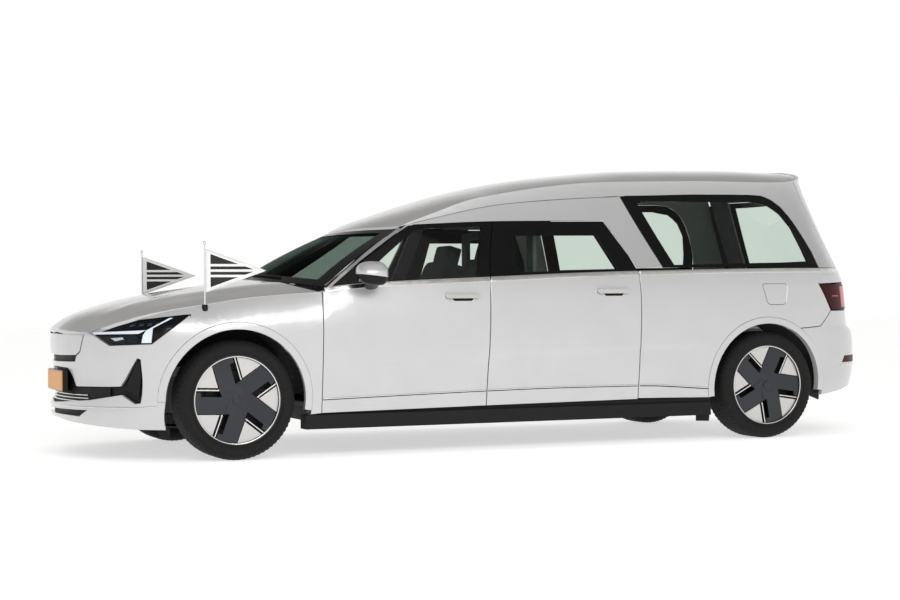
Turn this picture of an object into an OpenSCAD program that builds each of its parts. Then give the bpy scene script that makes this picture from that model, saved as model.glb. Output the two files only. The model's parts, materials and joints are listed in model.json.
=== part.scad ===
// A long-wheelbase electric hearse with a raised load space.
// Stations run rearwards from the front axle, widths from the middle and heights from the ground.

/* [Overall] */
// Distance between the front and rear axles
wheelbase = 3610; // [3300:10:4400]
// From the front axle forward to the nose
front_overhang = 915; // [850:5:1100]
// From the rear axle back to the tail
rear_overhang = 975; // [800:5:1200]
// Width of the body at its widest line, without mirrors
body_w = 1859; // [1700:1:2250]
// Height of the roof's highest point
roof_h = 1829; // [1750:1:2200]

/* [Body side] */
// Height of the widest line of the side
wide_h = 720; // [600:5:800]
// How far the belt lies in from the widest line
belt_in = 48; // [20:1:80]
// How far the foot of the side lies in from the widest line
foot_in = 34; // [10:1:60]
// Height of the doors' lower edge at the front
door_low_h = 262; // [220:1:300]
// Width of the gaps between panels
gap = 6; // [5:0.5:8]
// Thickness of a body panel with its inner skin
panel_t = 28; // [15:1:40]
// Thickness of a door below its window
door_t = 92; // [60:1:120]
// Thickness of a door's window frame
frame_t = 40; // [30:1:60]
// Thickness of the window glass
glass_t = 5; // [3:0.5:8]
// How deep the glass lies below the frame's face
glass_in = 12; // [5:1:25]

/* [Doors] */
// Station of the gap in front of the front doors
door_a = 526; // [480:1:600]
// Length of a front door
front_door_l = 1085; // [900:5:1250]
// Length of a rear door
rear_door_l = 1054; // [900:5:1150]
// Width of the black frame round a door's window
win_frame = 42; // [25:1:60]

/* [Lids] */
// Thickness of the hood with its inner skin
hood_t = 26; // [12:1:40]
// Thickness of the roof
roof_t = 34; // [15:1:60]
// Thickness of the tailgate
tailgate_t = 46; // [30:1:70]
// Length of the charging flap
flap_l = 190; // [120:5:240]
// Height of the charging flap
flap_h = 140; // [90:5:180]

/* [Wheels] */
// Radius of the tyres
tyre_r = 352; // [300:1:385]
// Width of the tyres
tyre_w = 245; // [185:5:265]
// Outer radius of the rims
rim_r = 268; // [200:1:300]
// How far the tyres' outer faces lie in from the widest line
tyre_in = 8; // [2:1:40]
// Radius of the front arches
front_arch_r = 415; // [400:1:440]
// Radius of the rear arches
rear_arch_r = 406; // [395:1:430]
// Height of the underside of the sills
sill_h = 165; // [140:1:200]

/* [Inside] */
// Height of the cabin floor
floor_h = 318; // [300:1:400]
// Height of the top of the coffin deck
deck_h = 700; // [560:5:760]
// Width of the coffin deck
deck_w = 940; // [760:5:950]
// Bore of the sockets that hold the coffin stops
stop_bore = 20; // [12:1:30]

/* [Flags] */
// Height of the top of the flag poles
pole_top_h = 1282; // [1150:1:1400]
// Radius of the flag poles
pole_r = 5; // [3:0.5:8]
// Length of a pennant
pennant_l = 372; // [250:1:420]
// Height of a pennant at its pole
pennant_h = 258; // [180:1:300]

/* [Hidden] */
FAR = 4000;
silver = "#b9babc";
black = "#1b1c1e";
glass = "#39413f";

length = front_overhang + wheelbase + rear_overhang;
mid_station = length / 2 - front_overhang;
half_w = body_w / 2;
nose = -front_overhang;
tail = wheelbase + rear_overhang;
// Where the side starts to curve round to the nose and to the tail
nose_turn = -150;
tail_turn = wheelbase + 90;
// How square those corners are in plan: 2 is an ellipse
nose_square = 2.15;
tail_square = 3;
// Gap lines between the doors, at the belt and at the foot
door_b = door_a + front_door_l;
door_c = door_b + rear_door_l;
wheel_y = half_w - tyre_in - tyre_w / 2;

// --- The body's surface ---

// Height of the shoulder: the hood's seam, then the belt, by station
function top_z(u) = lookup(u, [
    [nose, 764], [nose + 300, 752], [nose + 412, 795], [nose + 553, 861], [nose_turn, 918],
    [120, 955], [door_a, 984], [door_a + 30, 1012], [door_b, 1069], [door_c, 1106],
    [wheelbase + 467, 1126], [tail, 1118]]);
// Height of the body's lower edge by station
function foot_z(u) = lookup(u, [
    [nose, 236], [nose + 500, 190], [-300, 184], [front_arch_r, door_low_h - 7], [door_a, door_low_h],
    [door_c, door_low_h + 23], [wheelbase + 389, door_low_h + 42], [wheelbase + 700, 335], [tail, 318]]);
function top_in(u) = lookup(u, [[nose_turn, belt_in + 26], [door_a, belt_in + 12],
    [door_a + 200, belt_in]]);
// Half width of the side below the shoulder, a depth d inside the skin
function side_y(u, z, d = 0) = half_w - d - (z > wide_h
    ? top_in(u) * pow((z - wide_h) / max(top_z(u) - wide_h, 60), 2)
    : foot_in * pow((wide_h - z) / (wide_h - 200), 2));
// How far the nose and the tail lie in from their furthest points, by height
function nose_in(z) = lookup(z, [
    [150, 60], [275, 0], [330, 8], [400, 28], [470, 32], [560, 16], [640, 3], [700, 0], [764, 8],
    [860, 52], [980, 150]]);
function tail_in(z) = lookup(z, [
    [200, 60], [330, 30], [400, 10], [480, 0], [640, 6], [700, 22], [740, 62], [870, 74],
    [1030, 84], [1130, 124], [1740, 352], [1829, 380]]);

// A quarter of a superellipse: t runs from 0 at its side to 1 at its end
function turn(t, square) = [pow(sin(90 * t), 2 / square), pow(cos(90 * t), 2 / square)];
function wrap(u, z, w, d) =
    u < nose_turn
    ? let (q = turn((nose_turn - u) / (nose_turn - nose), nose_square))
      [nose_turn - (nose_turn - nose - nose_in(z) - d) * q[0], -w * q[1], z]
    : u > tail_turn
    ? let (q = turn((u - tail_turn) / (tail - tail_turn), tail_square))
      [tail_turn + (tail - tail_turn - tail_in(z) - d) * q[0], -w * q[1], z]
    : [u, -w, z];
// A point of the lower body: u along it, v up it from 0 to 1, d inside it
function body_pt(u, v, d) =
    let (z = foot_z(u) + (top_z(u) - foot_z(u)) * v) wrap(u, z, side_y(u, z, d), d);

// The roof's edge, where its top meets the sides
pillar_foot = [door_a + 22, 1012];
side_edge_drop = 114;
function edge_z(u) = u > tail_turn
    ? roof_h - side_edge_drop * pow(turn((u - tail_turn) / (tail - tail_turn), tail_square)[1], roof_crown)
    : lookup(u, [
        [pillar_foot[0], pillar_foot[1]], [1128, roof_h - 436], [1318, roof_h - 362],
        [1673, roof_h - 246], [2518, roof_h - 136], [wheelbase - 341, roof_h - side_edge_drop]]);
// How the roof's section falls to its edges
roof_crown = 2.3;
// The plane across the roof where it ends and the tailgate starts
roof_end = wheelbase + 432;
// Half width of the roof, and the station of its rear edge at a distance from the middle
tail_top = tail - tail_turn - tail_in(roof_h - side_edge_drop);
function roof_w(s) = edge_y(max(s, 1128)) * (s > tail_turn
    ? pow(max(1 - pow((s - tail_turn) / tail_top, tail_square), 0), 1 / tail_square) : 1);
function rear_edge(y) = tail_turn + tail_top
    * pow(max(1 - pow(abs(y) / edge_y(tail_turn), tail_square), 0), 1 / tail_square);
function edge_y(u) = half_w + lookup(u, [[pillar_foot[0], -66], [1128, -296], [2650, -290]]);
// Half width of the sides above the belt
function upper_y(u, z, d = 0) =
    let (low = min(top_z(u), edge_z(u) - 1), v = min(max((z - low) / (edge_z(u) - low), 0), 1))
    half_w - belt_in - d + (edge_y(u) - half_w + belt_in) * (1 - pow(1 - v, 1.25));
belt_lap = 2;
function upper_pt(u, v, d) =
    let (low = min(top_z(u), edge_z(u) - 1) - belt_lap, z = low + (edge_z(u) - low) * v)
    wrap(u, z, upper_y(u, z, d), d);
// Height of the roof's middle line, and of any point of the roof
function crown_z(u) = roof_h + lookup(u, [
    [907, -443], [1011, -396], [1150, -349], [1361, -280], [1647, -196], [1939, -130], [2236, -84],
    [2539, -51], [2847, -24], [3321, -7], [wheelbase + 117, 0], [wheelbase + 449, -6],
    [wheelbase + 618, -9], [wheelbase + 700, -40]]);
function roof_edge_z(u) = lookup(u, [[907, roof_h - 569], [1011, roof_h - 499], [1128, edge_z(1128)]]);
function roof_z(u, y) =
    let (edge = u < 1128 ? roof_edge_z(u) : edge_z(min(u, tail_turn)), w = edge_y(max(u, 1128)))
    crown_z(u) - (crown_z(u) - edge) * pow(min(abs(y) / w, 1.05), roof_crown);
// Height of the hood's middle line, and of any point of the hood
function hood_mid_z(u) = lookup(u, [
    [nose, 764], [-902, 789], [-872, 813], [-811, 849], [-750, 873], [-688, 895], [-564, 930],
    [-439, 960], [-250, 996], [-59, 1024], [130, 1052], [300, 1072], [560, 1084]]);
function hood_z(u, y) =
    let (s = max(u, nose + 20), w = wrap_y_at(s), seam = seam_z(s))
    hood_mid_z(u) - (hood_mid_z(u) - min(seam, hood_mid_z(u))) * pow(min(abs(y) / w, 1.2), 2.4);
// Half width and height of the hood's seam at a true station
function wrap_y_at(s) = s > nose_turn ? side_y(s, top_z(s))
    : (half_w - belt_in - 26) * pow(max(1 - pow((nose_turn - s) / (nose_turn - nose + 2), nose_square),
        0.0001), 1 / nose_square);
function seam_z(s) = lookup(s, [
    [nose, 764], [nose + 131, 752], [nose + 222, 795], [-488, 861], [nose_turn, 918], [120, 955],
        [door_a, 984]]);

// A closed shell between two surfaces given as grids of points, outer first
module shell(outer, inner, ring = false) {
    rows = len(outer);
    cols = len(outer[0]);
    n = rows * cols;
    points = [for (g = [outer, inner]) for (row = g) for (p = row) p];
    last = ring ? cols - 1 : cols - 2;
    skins = [for (i = [0:rows - 2], j = [0:last])
        let (k = (j + 1) % cols, a = i * cols + j, b = i * cols + k, c = a + cols, e = b + cols)
        each [[a, c, b], [b, c, e], [a + n, b + n, c + n], [b + n, e + n, c + n]]];
    rims = [for (j = [0:last])
        let (k = (j + 1) % cols, top = (rows - 1) * cols)
        each [[j, k, j + n], [k, k + n, j + n],
            [top + j, top + j + n, top + k], [top + k, top + j + n, top + k + n]]];
    ends = ring ? [] : [for (i = [0:rows - 2], side = [0, 1])
        let (a = i * cols + side * (cols - 1), c = a + cols)
        each (side == 0 ? [[a, a + n, c], [c, a + n, c + n]] : [[a, c, a + n], [c, c + n, a + n]])];
    polyhedron(points, concat(skins, rims, ends));
}

// Stations along one side, closer together where the plan turns
function side_stations() = concat(
    [for (t = [9:-1:1]) nose_turn - (nose_turn - nose) * t / 9],
    [nose_turn, 0, 160, 330],
    [for (u = [door_a:180:tail_turn - 60]) u],
    [for (t = [0:8]) tail_turn + (tail - tail_turn) * t / 8]);
function flip(p) = [p[0], -p[1], p[2]];
// The same stations round the whole body, out along the left and back along the right
function round_grid(f, stations, rows, d) = [for (i = [0:rows])
    concat([for (u = stations) f(u, i / rows, d)],
        [for (k = [len(stations) - 2:-1:1]) flip(f(stations[k], i / rows, d))])];
module lower_shell(d0, d1) {
    st = side_stations();
    shell(round_grid(function (u, v, d) body_pt(u, v, d), st, 9, d0),
        round_grid(function (u, v, d) body_pt(u, v, d), st, 9, d1), ring = true);
}
function half_grid(f, stations, rows, d) = [for (i = [0:rows]) [for (u = stations) f(u, i / rows, d)]];
upper_stations = concat([for (u = [pillar_foot[0]:115:1140]) u], [for (u = [1240:190:tail_turn]) u],
    [for (t = [0.02, 0.15, 0.28, 0.42, 0.56, 0.7, 0.84, 1]) tail_turn + (tail - tail_turn) * t]);
// The sides above the belt, on the left only
module upper_shell(d0, d1, from = pillar_foot[0]) {
    st = [for (u = upper_stations) if (u >= from) u];
    shell(half_grid(function (u, v, d) upper_pt(u, v, d), st, 6, d0),
        half_grid(function (u, v, d) upper_pt(u, v, d), st, 6, d1));
}

// Puts what follows in the finished frame: the middle of the length at x = 0
module place() { translate([-mid_station, 0, 0]) children(); }
module both_sides() { children(); mirror([0, 1, 0]) children(); }
// Evaluates its children as one faceted shell
module as_shell() { resize([0, 0, 0]) children(); }
// A side view outline, extruded through the left half
module side_cut(from = 0, to = -half_w - 60) {
    translate([0, from, 0]) rotate([90, 0, 0]) linear_extrude(from - to) children();
}
// A front view outline, extruded along the length
module front_cut(from, to) {
    translate([from, 0, 0]) rotate([90, 0, 90]) linear_extrude(to - from) children();
}
module slab(from, to, y0, y1, z0, z1) { translate([from, y0, z0]) cube([to - from, y1 - y0, z1 - z0]); }

// --- Outlines, in stations and heights ---

// Height of the doors' top edge by station
function door_top(u) = roof_h - lookup(u, [[1150, 434], [1724, 408], [2498, 397]]);
door_top_b = door_top(door_b + 110);
door_top_c = door_top(door_c);
// The gap lines lean back above the belt and bow forward below it
function b_line(z) = lookup(z, [[100, door_b - 24], [350, door_b - 22], [618, door_b - 9],
    [1044, door_b + 18], [door_top_b, door_b + 116]]);
function c_line(z) = lookup(z, [[100, door_c - 20], [285, door_c - 17], [700, door_c - 4],
    [1048, door_c + 10], [1106, door_c + 2], [door_top_c, door_c - 166]]);
function a_line(z) = lookup(z, [[100, door_a - 10], [620, door_a - 2], [980, door_a + 10],
    [1012, door_a + 20]]);
levels = [0:5];
function level(i, low, high) = low + (high - low) * i / 5;
front_door_points = concat(
    [for (i = levels) let (z = level(i, foot_z(door_a), 1010)) [a_line(z), z]],
    [[door_a + 74, 1014], [1174, door_top(1174)]],
    [for (i = [5:-1:0]) let (z = level(i, foot_z(door_b), door_top_b)) [b_line(z) - gap, z]]);
rear_door_points = concat(
    [for (i = levels) let (z = level(i, foot_z(door_b), door_top_b)) [b_line(z), z]],
    [for (i = [5:-1:0]) let (z = level(i, foot_z(door_c), door_top_c)) [c_line(z) - gap, z]]);
front_win_points = [[door_a + 232, 1040], [door_a + 232, 1092], [1205, door_top(1205) - win_frame + 16],
    [b_line(door_top_b) - win_frame - 22, door_top_b - win_frame + 8],
        [b_line(1080) - win_frame - 18, 1084]];
rear_win_points = [[b_line(1090) + win_frame + 40, 1094],
    [b_line(door_top_b) + win_frame + 26, door_top_c - 88],
    [c_line(door_top_c) - win_frame - 4, door_top_c - 88], [c_line(1120) - 158, 1118]];
side_win_points = concat([[door_c + 192, 1124], [door_c - 10, roof_h - 229]],
    [for (i = [0:5]) let (a = 90 - 11 * i)
        [wheelbase + 100 + 250 * cos(a), roof_h - 424 + 222 * sin(a)]],
    [[wheelbase + 452, 1132]]);

// --- Running gear ---

module tyre() {
    w = tyre_w / 2;
    rotate([90, 0, 0]) rotate_extrude($fn = 96) polygon([
        [rim_r - 14, -w + 12], [rim_r + 18, -w], [tyre_r - 34, -w - 2], [tyre_r - 12, -w + 10],
        [tyre_r, -w + 30], [tyre_r, w - 30], [tyre_r - 12, w - 10], [tyre_r - 34, w + 2],
        [rim_r + 18, w], [rim_r - 14, w - 12]]);
}
hub_r = 80;
spokes = 5;
// The rim, its five blades, the hub and the brake disc, with the outer face towards -y
module rim() {
    w = tyre_w / 2;
    rotate([90, 0, 0]) {
        rotate_extrude($fn = 96) polygon([
            [rim_r - 30, -w + 10], [rim_r - 14.3, -w + 8], [rim_r - 14.3, w - 8], [rim_r - 26, w - 8],
            [rim_r - 30, w - 30], [rim_r - 44, 0]]);
        for (i = [0:spokes - 1]) rotate(i * 360 / spokes + 20)
            translate([0, 0, w - 44]) linear_extrude(26)
                polygon([[hub_r - 12, -46], [rim_r - 30, -70], [rim_r - 30, 30], [hub_r - 12, 46]]);
        translate([0, 0, w - 60]) cylinder(h = 46, r = hub_r, $fn = 64);
        translate([0, 0, -40]) cylinder(h = w - 20, r = 62, $fn = 48);
        translate([0, 0, -12]) cylinder(h = 26, r = 172, $fn = 64);
    }
}
module wheel_at(station, side) {
    place() translate([station, side * wheel_y, tyre_r]) mirror([0, side > 0 ? 1 : 0, 0]) children();
}
// The upright turns about its two ball joints, this far inboard of the wheel's middle
king_y = 62;
ball_drop = 150;
// The steered upright with its caliper; bored for its lower ball joint
module knuckle() {
    difference() {
        union() {
            rotate([-90, 0, 0]) translate([0, 0, 40.3]) cylinder(h = 30, r = 60, $fn = 48);
            slab(-34, 34, king_y - 20, king_y + 26, -120, 130);
            translate([0, king_y, -ball_drop]) cylinder(h = 40, r = 26, $fn = 40);
            translate([0, king_y, 120]) cylinder(h = 40, r = 22, $fn = 40);
            slab(30, 110, king_y - 10, king_y + 6, -30, 30);
        }
        translate([0, king_y, -ball_drop - 10]) cylinder(h = 30, r = 9, $fn = 32);
    }
    difference() {
        slab(110, 186, -30, king_y + 10, -60, 60);
        slab(100, 176, -19, 18, -70, 70);
    }
}
module left_knuckle() { color("#55585c") wheel_at(0, -1) knuckle(); }
module right_knuckle() { color("#55585c") wheel_at(0, 1) knuckle(); }

rail_h = 470;
// The front subframe with the drive unit and the arms that carry the knuckles
module front_axle() {
    color("#3a3c3f") place() {
        slab(-190, 190, -300, 300, 190, rail_h - 0.3);
        slab(-330, 330, -340, -250, 190, 250);
        slab(-330, 330, 250, 340, 190, 250);
        // The lower arms, with the studs of the ball joints
        both_sides() translate([0, -wheel_y + king_y, tyre_r - ball_drop]) {
            slab(-28, 28, -26, wheel_y - king_y - 280, -40, -12);
            translate([0, 0, -12]) cylinder(h = 11.7, r = 26, $fn = 40);
            translate([0, 0, -12]) cylinder(h = 30, r = 8.7, $fn = 32);
        }
    }
}
module rear_axle() {
    color("#3a3c3f") place() translate([wheelbase, 0, 0]) {
        slab(-210, 190, -280, 280, 200, rail_h - 0.3);
        slab(-300, 300, -460, -270, 220, 280);
        slab(-300, 300, 270, 460, 220, 280);
        both_sides() {
            slab(-30, 30, -wheel_y + 95, -440, tyre_r - 100, tyre_r + 40);
            translate([0, -wheel_y + 96, tyre_r]) rotate([90, 0, 0]) cylinder(h = 55.7, r = 58, $fn = 48);
        }
    }
}
module battery_pack() {
    color("#2a2b2d") place() slab(620, wheelbase - 620, -640, 640, 172, floor_h - 26.3);
}
module floor_pan() {
    color(black) place() {
        slab(470, wheelbase - 480, -half_w + 190, half_w - 190, floor_h - 26, floor_h);
        slab(440, 470, -500, 500, floor_h - 26, 960);
        slab(wheelbase - 480, tail - 84, -430, 430, rail_h, rail_h + 30);
        slab(wheelbase - 480, wheelbase - 460, -430, 430, floor_h - 26, rail_h + 10);
    }
}

// --- Shell panels ---

module arch_cuts() {
    translate([0, 0, tyre_r]) rotate([90, 0, 0]) cylinder(h = FAR, r = front_arch_r, center = true,
        $fn = 72);
    translate([wheelbase, 0, tyre_r]) rotate([90, 0, 0])
        cylinder(h = FAR, r = rear_arch_r, center = true, $fn = 72);
}
lamp_points = [[-792, 742], [-640, 812], [-490, 832], [-262, 858], [-420, 742], [-640, 676], [-705, 690]];
tail_lamp_points = [[wheelbase + 426, 1024], [wheelbase + 540, 842], [tail + 60, 842], [tail + 60, 1030]];
// The seam between bumper and fender, behind the lamp
bumper_seam = -270;
module left_fender() {
    color(silver) place() as_shell() difference() {
        intersection() {
            lower_shell(0, panel_t);
            side_cut() polygon([[bumper_seam + 140, 770], [bumper_seam + gap, 838], [-262, 862],
                [-490, 836],
                [-560, 824], [-560, 1100], [door_a + 40, 1100],
                for (i = [5:-1:0]) let (z = level(i, 150, 1012)) [a_line(z) - gap, z],
                [300, 150], [300, 500], [0, 500]]);
        }
        hood_room();
        arch_cuts();
    }
}
module right_fender() { mirror([0, 1, 0]) left_fender(); }
module lamp_box(d0, d1) {
    intersection() {
        lower_shell(d0, d1);
        side_cut(from = -300) children();
    }
}
module headlights() {
    color(black) place() as_shell() both_sides() difference() {
        union() {
            lamp_box(1, panel_t + 0.8) offset(delta = -1) polygon(lamp_points);
            lamp_box(panel_t + 0.7, 70) offset(delta = 8) polygon(lamp_points);
        }
        hood_room();
    }
}
grille_w = 470;
module grille_outline(grow) {
    offset(delta = grow) polygon([[-grille_w, 610], [-500, 752], [500, 752], [grille_w, 610],
        [560, 400], [560, 285], [-560, 285], [-560, 400]]);
}
module side_intake(grow) {
    offset(delta = grow) polygon([[-1000, 450], [-640, 450], [-545, 602], [-535, 345], [-680, 345],
        [-1000, 400]]);
}
module front_bumper() {
    color(silver) place() as_shell() both_sides() difference() {
        intersection() {
            lower_shell(0, panel_t);
            side_cut(from = 0) polygon([[-1000, 100], [-330, 100], [-330, 500], [bumper_seam + 136, 764],
                [bumper_seam, 834], [-285, 834], [-420, 740], [-640, 674], [-707, 688], [-794, 740],
                    [-794, 764],
                [-1000, 764]]);
        }
        hood_room();
        arch_cuts();
        front_cut(-1000, -500) grille_outline(0);
        front_cut(-1000, -500) translate([-500, 740]) square([1000, 40]);
        side_cut(from = -500) side_intake(0);
    }
}
// The smooth panel in the nose, with the intakes' backs and the blank number plate
module grille_panel() {
    color("#a9abad") place() as_shell() both_sides() difference() {
        union() {
            intersection() {
                lower_shell(1, panel_t + 1);
                front_cut(-1000, -500) polygon([[-grille_w + 4, 614], [-496, 762], [496, 762],
                    [grille_w - 4, 614]]);
            }
            intersection() {
                lower_shell(panel_t + 0.3, panel_t + 20);
                front_cut(-1000, -500) grille_outline(12);
            }
            intersection() {
                lower_shell(panel_t + 0.3, panel_t + 20);
                side_cut(from = -500) side_intake(8);
            }
            slab(nose + 6, nose + 70, -262, 262, 400, 520);
        }
        hood_room();
        translate([-FAR, 0, 0]) cube(FAR);
        side_cut(from = -300) offset(delta = 9) polygon(lamp_points);
    }
}
// The tub under the hood
module front_bay() {
    color(black) place() slab(-560, 380, -470, 470, 540, 790);
}
hood_back_mid = 262;
hood_back = function (y) hood_back_mid + (door_a - gap - 10 - hood_back_mid)
    * pow(abs(y) / hood_edge(door_a), 2);
hood_edge = function (s) wrap_y_at(s) - 2;
hood_fs = [-1, -0.9, -0.75, -0.5, -0.25, 0, 0.25, 0.5, 0.75, 0.9, 1];
hood_ts = [0, 0.012, 0.04, 0.08, 0.14, 0.22, 0.34, 0.48, 0.64, 0.8, 1];
// The hood between two depths, its edges moved in or out from the seam
module hood_shell(edge_in, back_in, d0, d1) {
    front = nose + 4 + edge_in;
    grid = function (d) [for (f = hood_fs) [for (t = hood_ts)
        let (back = hood_back(f * hood_edge(door_a)) - back_in, s = front + (back - front) * t,
            y = f * max(wrap_y_at(s) - edge_in, 60))
        [s, y, hood_z(s, y) - d]]];
    shell(grid(d0), grid(d1));
}
module hood() { color(silver) place() hood_shell(3 + gap, 0, 0, hood_t); }
// The room that the hood needs, out to the lip that the panels beside it keep
module hood_room() { hood_shell(3, -30, -60, hood_t + gap); }
roof_ts = [0, 0.03, 0.08, 0.15, 0.24, 0.34, 0.45, 0.57, 0.7, 0.84, 1];
roof_fs = [-1, -0.93, -0.8, -0.6, -0.3, 0, 0.3, 0.6, 0.8, 0.93, 1];
// The roof between two depths: its edges are bevelled under, over a strip this wide
roof_bevel = 110;
module roof_shell(d0, d1, bevel) {
    grid = function (d, narrow) [for (f = roof_fs) [for (t = roof_ts)
        let (front = 907 + 221 * f * f, s = front + (roof_end - gap - front) * t,
            y = f * (roof_w(s) - narrow))
        [s, y, roof_z(s, y) - d]]];
    shell(grid(d0, 0), grid(d1, bevel));
}
module roof_room() {
    roof_shell(0.3, roof_t + 0.3, roof_bevel);
    roof_shell(-80, 0.4, 0);
}
hinge_y = 320;
module roof() {
    color(silver) place() as_shell() {
        roof_shell(0, roof_t, roof_bevel);
        // The tabs that carry the tailgate's hinges
        top = roof_z(roof_end, hinge_y + 20);
        both_sides() {
            slab(roof_end - 70, roof_end - gap, hinge_y - 20, hinge_y + 20, top - 64, top - 26);
            difference() {
                slab(roof_end - 70, roof_end + 24, hinge_y - 20, hinge_y + 20, top - 64, top - 40);
                tailgate_cap(-10, tailgate_t + 0.3, 4);
            }
        }
    }
}
// Points of the windshield: f across from -1 to 1, v up
function screen_pt(f, v, d) =
    let (foot = [292 + 262 * f * f, -f * (half_w - 118), 1068 - 52 * f * f],
        head = [907 + 221 * f * f - 14, -f * (edge_y(1128) - 12), roof_z(907 + 221 * f * f,
            f * edge_y(1128)) - 14],
        bulge = 14 * sin(180 * v))
    foot + (head - foot) * v + [-0.5, 0, 0.86] * (bulge - d);
screen_fs = [-1, -0.89, -0.7, -0.5, -0.25, 0, 0.25, 0.5, 0.7, 0.89, 1];
module screen_shell(d0, d1, grow = 0) {
    grid = function (d) [for (i = [0:6]) [for (f = screen_fs) screen_pt(f * (1 + grow), i / 6, d)]];
    shell(grid(d0), grid(d1));
}
module windshield() { color(glass) place() screen_shell(0, glass_t); }
// The black panel between the hood and the windshield
module cowl() {
    grid = function (d) [for (i = [1:9]) [for (t = [0, 0.5, 1])
        let (foot = screen_pt(-screen_fs[i], 0, glass_t), back = hood_back(foot[1]),
            a = [back + 2 * gap, foot[1], hood_z(back, foot[1]) - 10], b = foot - [0, 0, 0.4])
        a + (b - a) * t - [0, 0, d]]];
    color(black) place() shell(grid(0), grid(14));
}

// --- Doors ---

// One door: the skin, the deeper lower part and the window frame, for an outline and its window
module door(outline, window, from, to) {
    inset = 26;
    difference() {
        union() {
            intersection() {
                lower_shell(0, panel_t);
                side_cut() polygon(outline);
            }
            intersection() {
                lower_shell(panel_t - 1, door_t);
                side_cut() offset(delta = -inset) intersection() {
                    polygon(outline);
                    translate([from - 200, 0]) square([to - from + 400, 1030]);
                }
            }
            intersection() {
                upper_shell(0, frame_t / 2);
                side_cut() polygon(outline);
            }
            intersection() {
                upper_shell(frame_t / 2 - 1, frame_t);
                side_cut() offset(delta = -12) polygon(outline);
            }
        }
        side_cut() polygon(window);
    }
}
module front_left_door() {
    color(silver) place() as_shell() door(front_door_points, front_win_points, door_a, door_b);
}
module front_right_door() { mirror([0, 1, 0]) front_left_door(); }
module rear_left_door() {
    color(silver) place() as_shell() door(rear_door_points, rear_win_points, door_b, door_c);
}
module rear_right_door() { mirror([0, 1, 0]) rear_left_door(); }
module pane(window) {
    place() as_shell() intersection() {
        upper_shell(glass_in, glass_in + glass_t);
        side_cut() offset(delta = -0.3) polygon(window);
    }
}
module front_left_glass() { color(glass) pane(front_win_points); }
module front_right_glass() { mirror([0, 1, 0]) front_left_glass(); }
module rear_left_glass() { color(glass) pane(rear_win_points); }
module rear_right_glass() { mirror([0, 1, 0]) rear_left_glass(); }
module side_glass() { color(glass) both_sides() pane(side_win_points); }

// --- Body frame, quarters and tail ---

// The pillars and rails that stay when the doors open
module cabin_frame() {
    color("#8f9092") place() as_shell() {
        both_sides() {
            // The rail over the doors and the screen pillar
            difference() {
                intersection() {
                    upper_shell(5, panel_t + 20);
                    side_cut() polygon([[pillar_foot[0] + 8, 1022], [1100, roof_h], [door_c - 90, roof_h],
                        [c_line(door_top_c) + 2, door_top_c + gap], [b_line(door_top_b), door_top_b + gap],
                        [1172, door_top(1172) + gap], [door_a + 62, 1026]]);
                }
                roof_room();
                screen_shell(-20, glass_t + 0.3, 0.004);
            }
            // The centre pillar, above and below the belt
            difference() {
                intersection() {
                    upper_shell(frame_t + 6, frame_t + 34);
                    side_cut() polygon([[b_line(1010) - 50, 1000],
                        [b_line(door_top_b) - 46, door_top_b + 30],
                        [b_line(door_top_b) + 46, door_top_b + 30], [b_line(1010) + 50, 1000]]);
                }
                roof_room();
            }
            intersection() {
                lower_shell(door_t + 6, door_t + 44);
                side_cut() polygon([[door_b - 80, 240], [b_line(1060) - 54, 1068],
                    [b_line(1060) + 54, 1068],
                    [door_b + 40, 240]]);
            }
            // The hinge pillar
            intersection() {
                lower_shell(door_t + 6, door_t + 60);
                side_cut() polygon([[door_a - 56, 240], [door_a - 56, 950], [door_a + 60, 1000],
                    [door_a + 70, 240]]);
            }
            // The doors' hinges, two on each pillar
            for (z = [420, 820]) intersection() {
                lower_shell(door_t + 0.3, door_t + 8);
                side_cut() {
                    translate([a_line(z) + 32, z]) square([34, 70]);
                    translate([b_line(z) + 28, z]) square([22, 70]);
                }
            }
            // The sill rail under the doors
            slab(door_a + 10, wheelbase - 490, -half_w + 150, -half_w + 226, 235, floor_h - 26.2);
            // The rail along the fender's inside, and the long rail to the nose
            difference() {
                slab(-225, door_a - 50, -half_w, -half_w + 140, 815, 855);
                lower_shell(-100, panel_t + 0.3);
            }
            difference() {
                slab(nose, 440, -295, -255, rail_h, 540);
                lower_shell(-100, panel_t + 20.8);
            }
            // The hood's hinge block
            difference() {
                slab(door_a - 100, door_a - 66, -820, -780, 850, 1010);
                hood_shell(0, 0, -60, hood_t + 0.3);
            }
        }
        slab(door_a - 56, door_a - 6, -half_w + 130, half_w - 130, 815, 940);
        // The beam behind the rear bumper
        intersection() {
            lower_shell(panel_t + 0.3, panel_t + 60);
            front_cut(wheelbase + 500, tail) translate([-700, rail_h + 30.3]) square([1400, 60]);
        }
    }
}
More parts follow.
